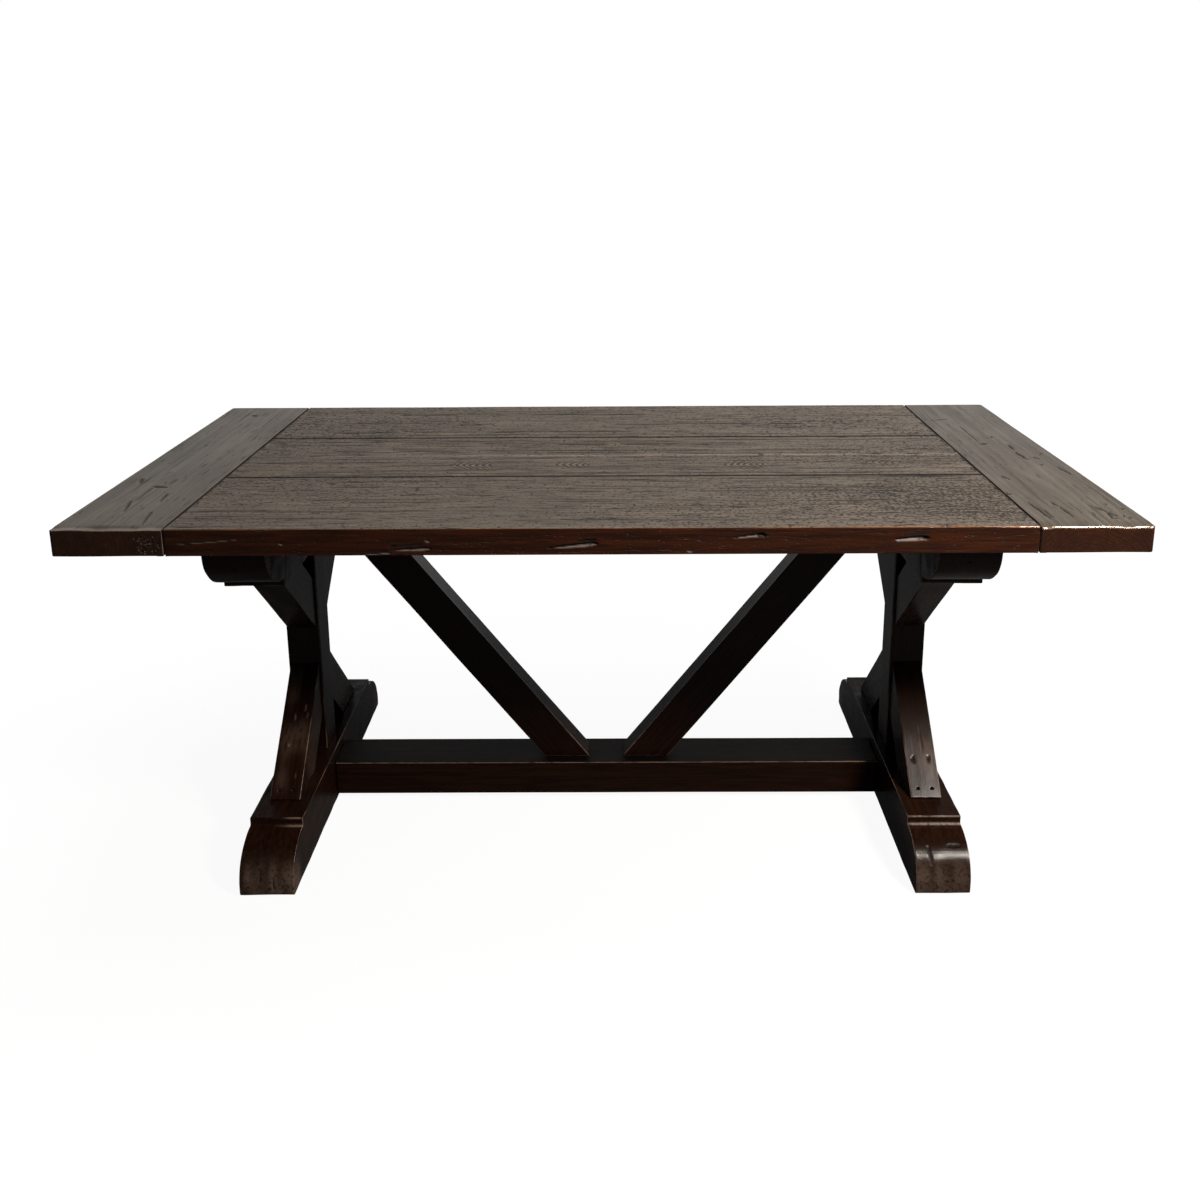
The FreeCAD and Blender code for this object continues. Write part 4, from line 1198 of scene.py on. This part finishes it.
# Struts that rise from the stretcher to the bearers
strutLook = {
    "cell": 6.0, "cellSide": 6.0, "rowShare": 0.08,  # mesh spacing
    "base": 99, "drop": 59, "edgeRadius": 2.2, "tipRadius": 2.4, "footRun": 9, "headRun": 6,
    "faceDepth": 0.8, "faceSize": (110, 90, 110),
    "wearAndPaintedLight": 0.8, "wearSize": 45, "rubbed": 0.8, "wornReach": (50, 190), "pith": (16, -40),
}


def strut(name, side, seed):
    look = strutLook
    low, high = cadCorners("strut_" + name)
    start, end = sorted(abs(x) for x in (low[0], high[0]))
    bottom, top = low[2], high[2]
    shoulder = top - look["drop"]
    slope = math.atan2(shoulder - bottom, end - start - look["base"])
    topStart = start + (top - bottom) / math.tan(slope)
    heel = start + look["base"]
    footRun, headRun = look["footRun"], look["headRun"]
    lower = [(heel - footRun, bottom), (heel, bottom), (end, shoulder), (end, top), (end - headRun, top)]
    upper = [(start + footRun, bottom), (start, bottom), (topStart, top), (topStart + headRun, top)]
    lower = roundedPath(lower, [look["tipRadius"]] * 3, look["cell"])
    upper = roundedPath(upper, [look["tipRadius"]] * 2, look["cell"])
    across = stations(0, 1, look["rowShare"])
    piece = baseMember(look, pairChains(lower, upper), across, high[1], (0, 0, 0), (side, 0, 0), (0, 0, 1),
                       seed)
    lowDown = 1 - easeBetween(*look["wornReach"], piece.points[:, 2] - bottom)
    wornArris(piece, look, seed + 1, look["rubbed"] * lowDown)
    along = (side * math.cos(slope), 0, math.sin(slope))
    finishPiece(piece, "strut_" + name, baseWood, along, look["pith"], seed)


for name, side in sides.items():
    strut(name, side, seeds["strut"] + side)
print("struts fitted")


# Studio: a white room that only the camera and reflections see, soft light from above and the front right
studioLook = {
    "ambient": 0.06, "roomGlow": 0.04,
    "wallTop": 0.31, "wallFade": 0.04, "wallFoot": 0.175, "wallFootFade": 0.15, "rearward": (-0.4, 0.5),
    "wallLeft": 0.88, "wallRight": 1.3, "wallSpan": (-0.1, 0.4), "mirrorShare": 0.02,
    "floorGlow": 0.94, "floorFade": (0.9, 2.6), "floorColour": "#5a5a5a", "floorReach": 6.0,
}
lamps = {
    "overhead": {"place": (0.2, 0.6, 2.9), "aim": (0.1, 0.2, 0.7), "size": 2.2, "power": 48,
                 "colour": "#ffffff"},
    "window": {"place": (1.45, -1.5, 2.0), "aim": (0.6, -0.2, 0.4), "size": 0.4, "power": 57,
               "colour": "#fff6ec"},
}


def reflectedRays(tree, rays):  # paths that reach the eye by way of lacquer, metal or glass
    return maths(tree, "MAXIMUM", rays.outputs["Is Glossy Ray"], rays.outputs["Is Transmission Ray"])


def studioWorld(look):
    world = bpy.data.worlds.new("studio")
    bpy.context.scene.world = world
    world.use_nodes = True
    tree = world.node_tree
    tree.nodes.clear()
    rays = addNode(tree, "LightPath")
    direction = addNode(tree, "TexCoord").outputs["Generated"]
    x, y, z = addNode(tree, "SeparateXYZ", {0: direction}).outputs
    # reflections see a white wall behind the table, from wallFoot to wallTop, and a dim room all round it
    slopes = [
        (y, *look["rearward"]),
        (z, look["wallFoot"] - look["wallFootFade"], look["wallFoot"]),
        (z, look["wallTop"] + look["wallFade"], look["wallTop"]),
    ]
    wall = 1.0
    for value, start, end in slopes:
        wall = maths(tree, "MULTIPLY", ramped(tree, value, start, end), wall)
    lean = ramped(tree, x, *look["wallSpan"], look["wallLeft"], look["wallRight"])
    glow = ramped(tree, maths(tree, "MULTIPLY", wall, lean), 0.0, 1.0, look["roomGlow"], 1.0)
    soft = addNode(tree, "Mix", {0: reflectedRays(tree, rays), 2: look["ambient"], 3: glow}).outputs[0]
    strength = addNode(tree, "Mix", {0: rays.outputs["Is Camera Ray"], 2: soft, 3: 1.0}).outputs[0]
    background = addNode(tree, "Background", {"Color": (1, 1, 1, 1), "Strength": strength})
    addNode(tree, "OutputWorld", {"Surface": background.outputs[0]})


def studioFloor(look):
    material, tree = emptyMaterial("floor_painted_pale")
    rays = addNode(tree, "LightPath")
    place = addNode(tree, "TexCoord").outputs["Object"]
    away = addNode(tree, "VectorMath", {0: place}, operation="LENGTH").outputs["Value"]
    glow = ramped(tree, away, *look["floorFade"], look["floorGlow"], 1.0)
    visible = maths(tree, "MULTIPLY_ADD", reflectedRays(tree, rays), look["mirrorShare"],
                    rays.outputs["Is Camera Ray"])
    seen = maths(tree, "MULTIPLY", visible, glow)
    paint = addNode(tree, "BsdfDiffuse", {"Color": toLinear(look["floorColour"])})
    light = addNode(tree, "Emission", {"Color": (1, 1, 1, 1), "Strength": seen})
    both = addNode(tree, "AddShader", {0: paint.outputs[0], 1: light.outputs[0]})
    addNode(tree, "OutputMaterial", {"Surface": both.outputs[0]})
    reach = look["floorReach"]
    mesh = bpy.data.meshes.new("studio_floor")
    mesh.from_pydata([(-reach, -reach, 0), (reach, -reach, 0), (reach, reach, 0), (-reach, reach, 0)], [],
                     [(0, 1, 2, 3)])
    mesh.materials.append(material)
    floor = bpy.data.objects.new("studio_floor", mesh)
    bpy.context.collection.objects.link(floor)


def addLamp(name, look):
    light = bpy.data.lights.new(name, "AREA")
    light.shape = "SQUARE"
    light.size = look["size"]
    light.energy = look["power"]
    light.color = toLinear(look["colour"])[:3]
    lamp = bpy.data.objects.new(name, light)
    place, aim = np.array(look["place"]), np.array(look["aim"])
    back = unit(place - aim)
    right = unit(np.cross((0, 1, 0), back))
    axes = np.stack([right, np.cross(back, right), back], 1)
    lamp.matrix_world = Matrix.Translation(place) @ Matrix(axes.tolist()).to_4x4()
    bpy.context.collection.objects.link(lamp)


studioWorld(studioLook)
studioFloor(studioLook)
for lampName, lampLook in lamps.items():
    addLamp(lampName, lampLook)
print("studio lit")


# Camera at the photograph's viewpoint
cameraLook = {
    "place": (32, -2395, 1371), "pitch": 14.05, "yaw": -0.30, "roll": 0.335,
    "sensor": 36, "lens": 35.64, "shift": (-0.0112, -0.1245),
}


def placeCamera(look):
    camera = bpy.data.cameras.new("camera")
    camera.sensor_width = look["sensor"]
    camera.lens = look["lens"]
    camera.shift_x, camera.shift_y = look["shift"]
    holder = bpy.data.objects.new("camera", camera)
    turn = Matrix.Rotation(math.radians(-look["yaw"]), 4, "Z")
    tilt = Matrix.Rotation(math.radians(90 - look["pitch"]), 4, "X")
    roll = Matrix.Rotation(math.radians(-look["roll"]), 4, "Z")
    holder.matrix_world = Matrix.Translation(np.array(look["place"]) * mm) @ turn @ tilt @ roll
    bpy.context.collection.objects.link(holder)
    bpy.context.scene.camera = holder


placeCamera(cameraLook)
bpy.context.scene.view_settings.view_transform = "Standard"
print("camera placed")
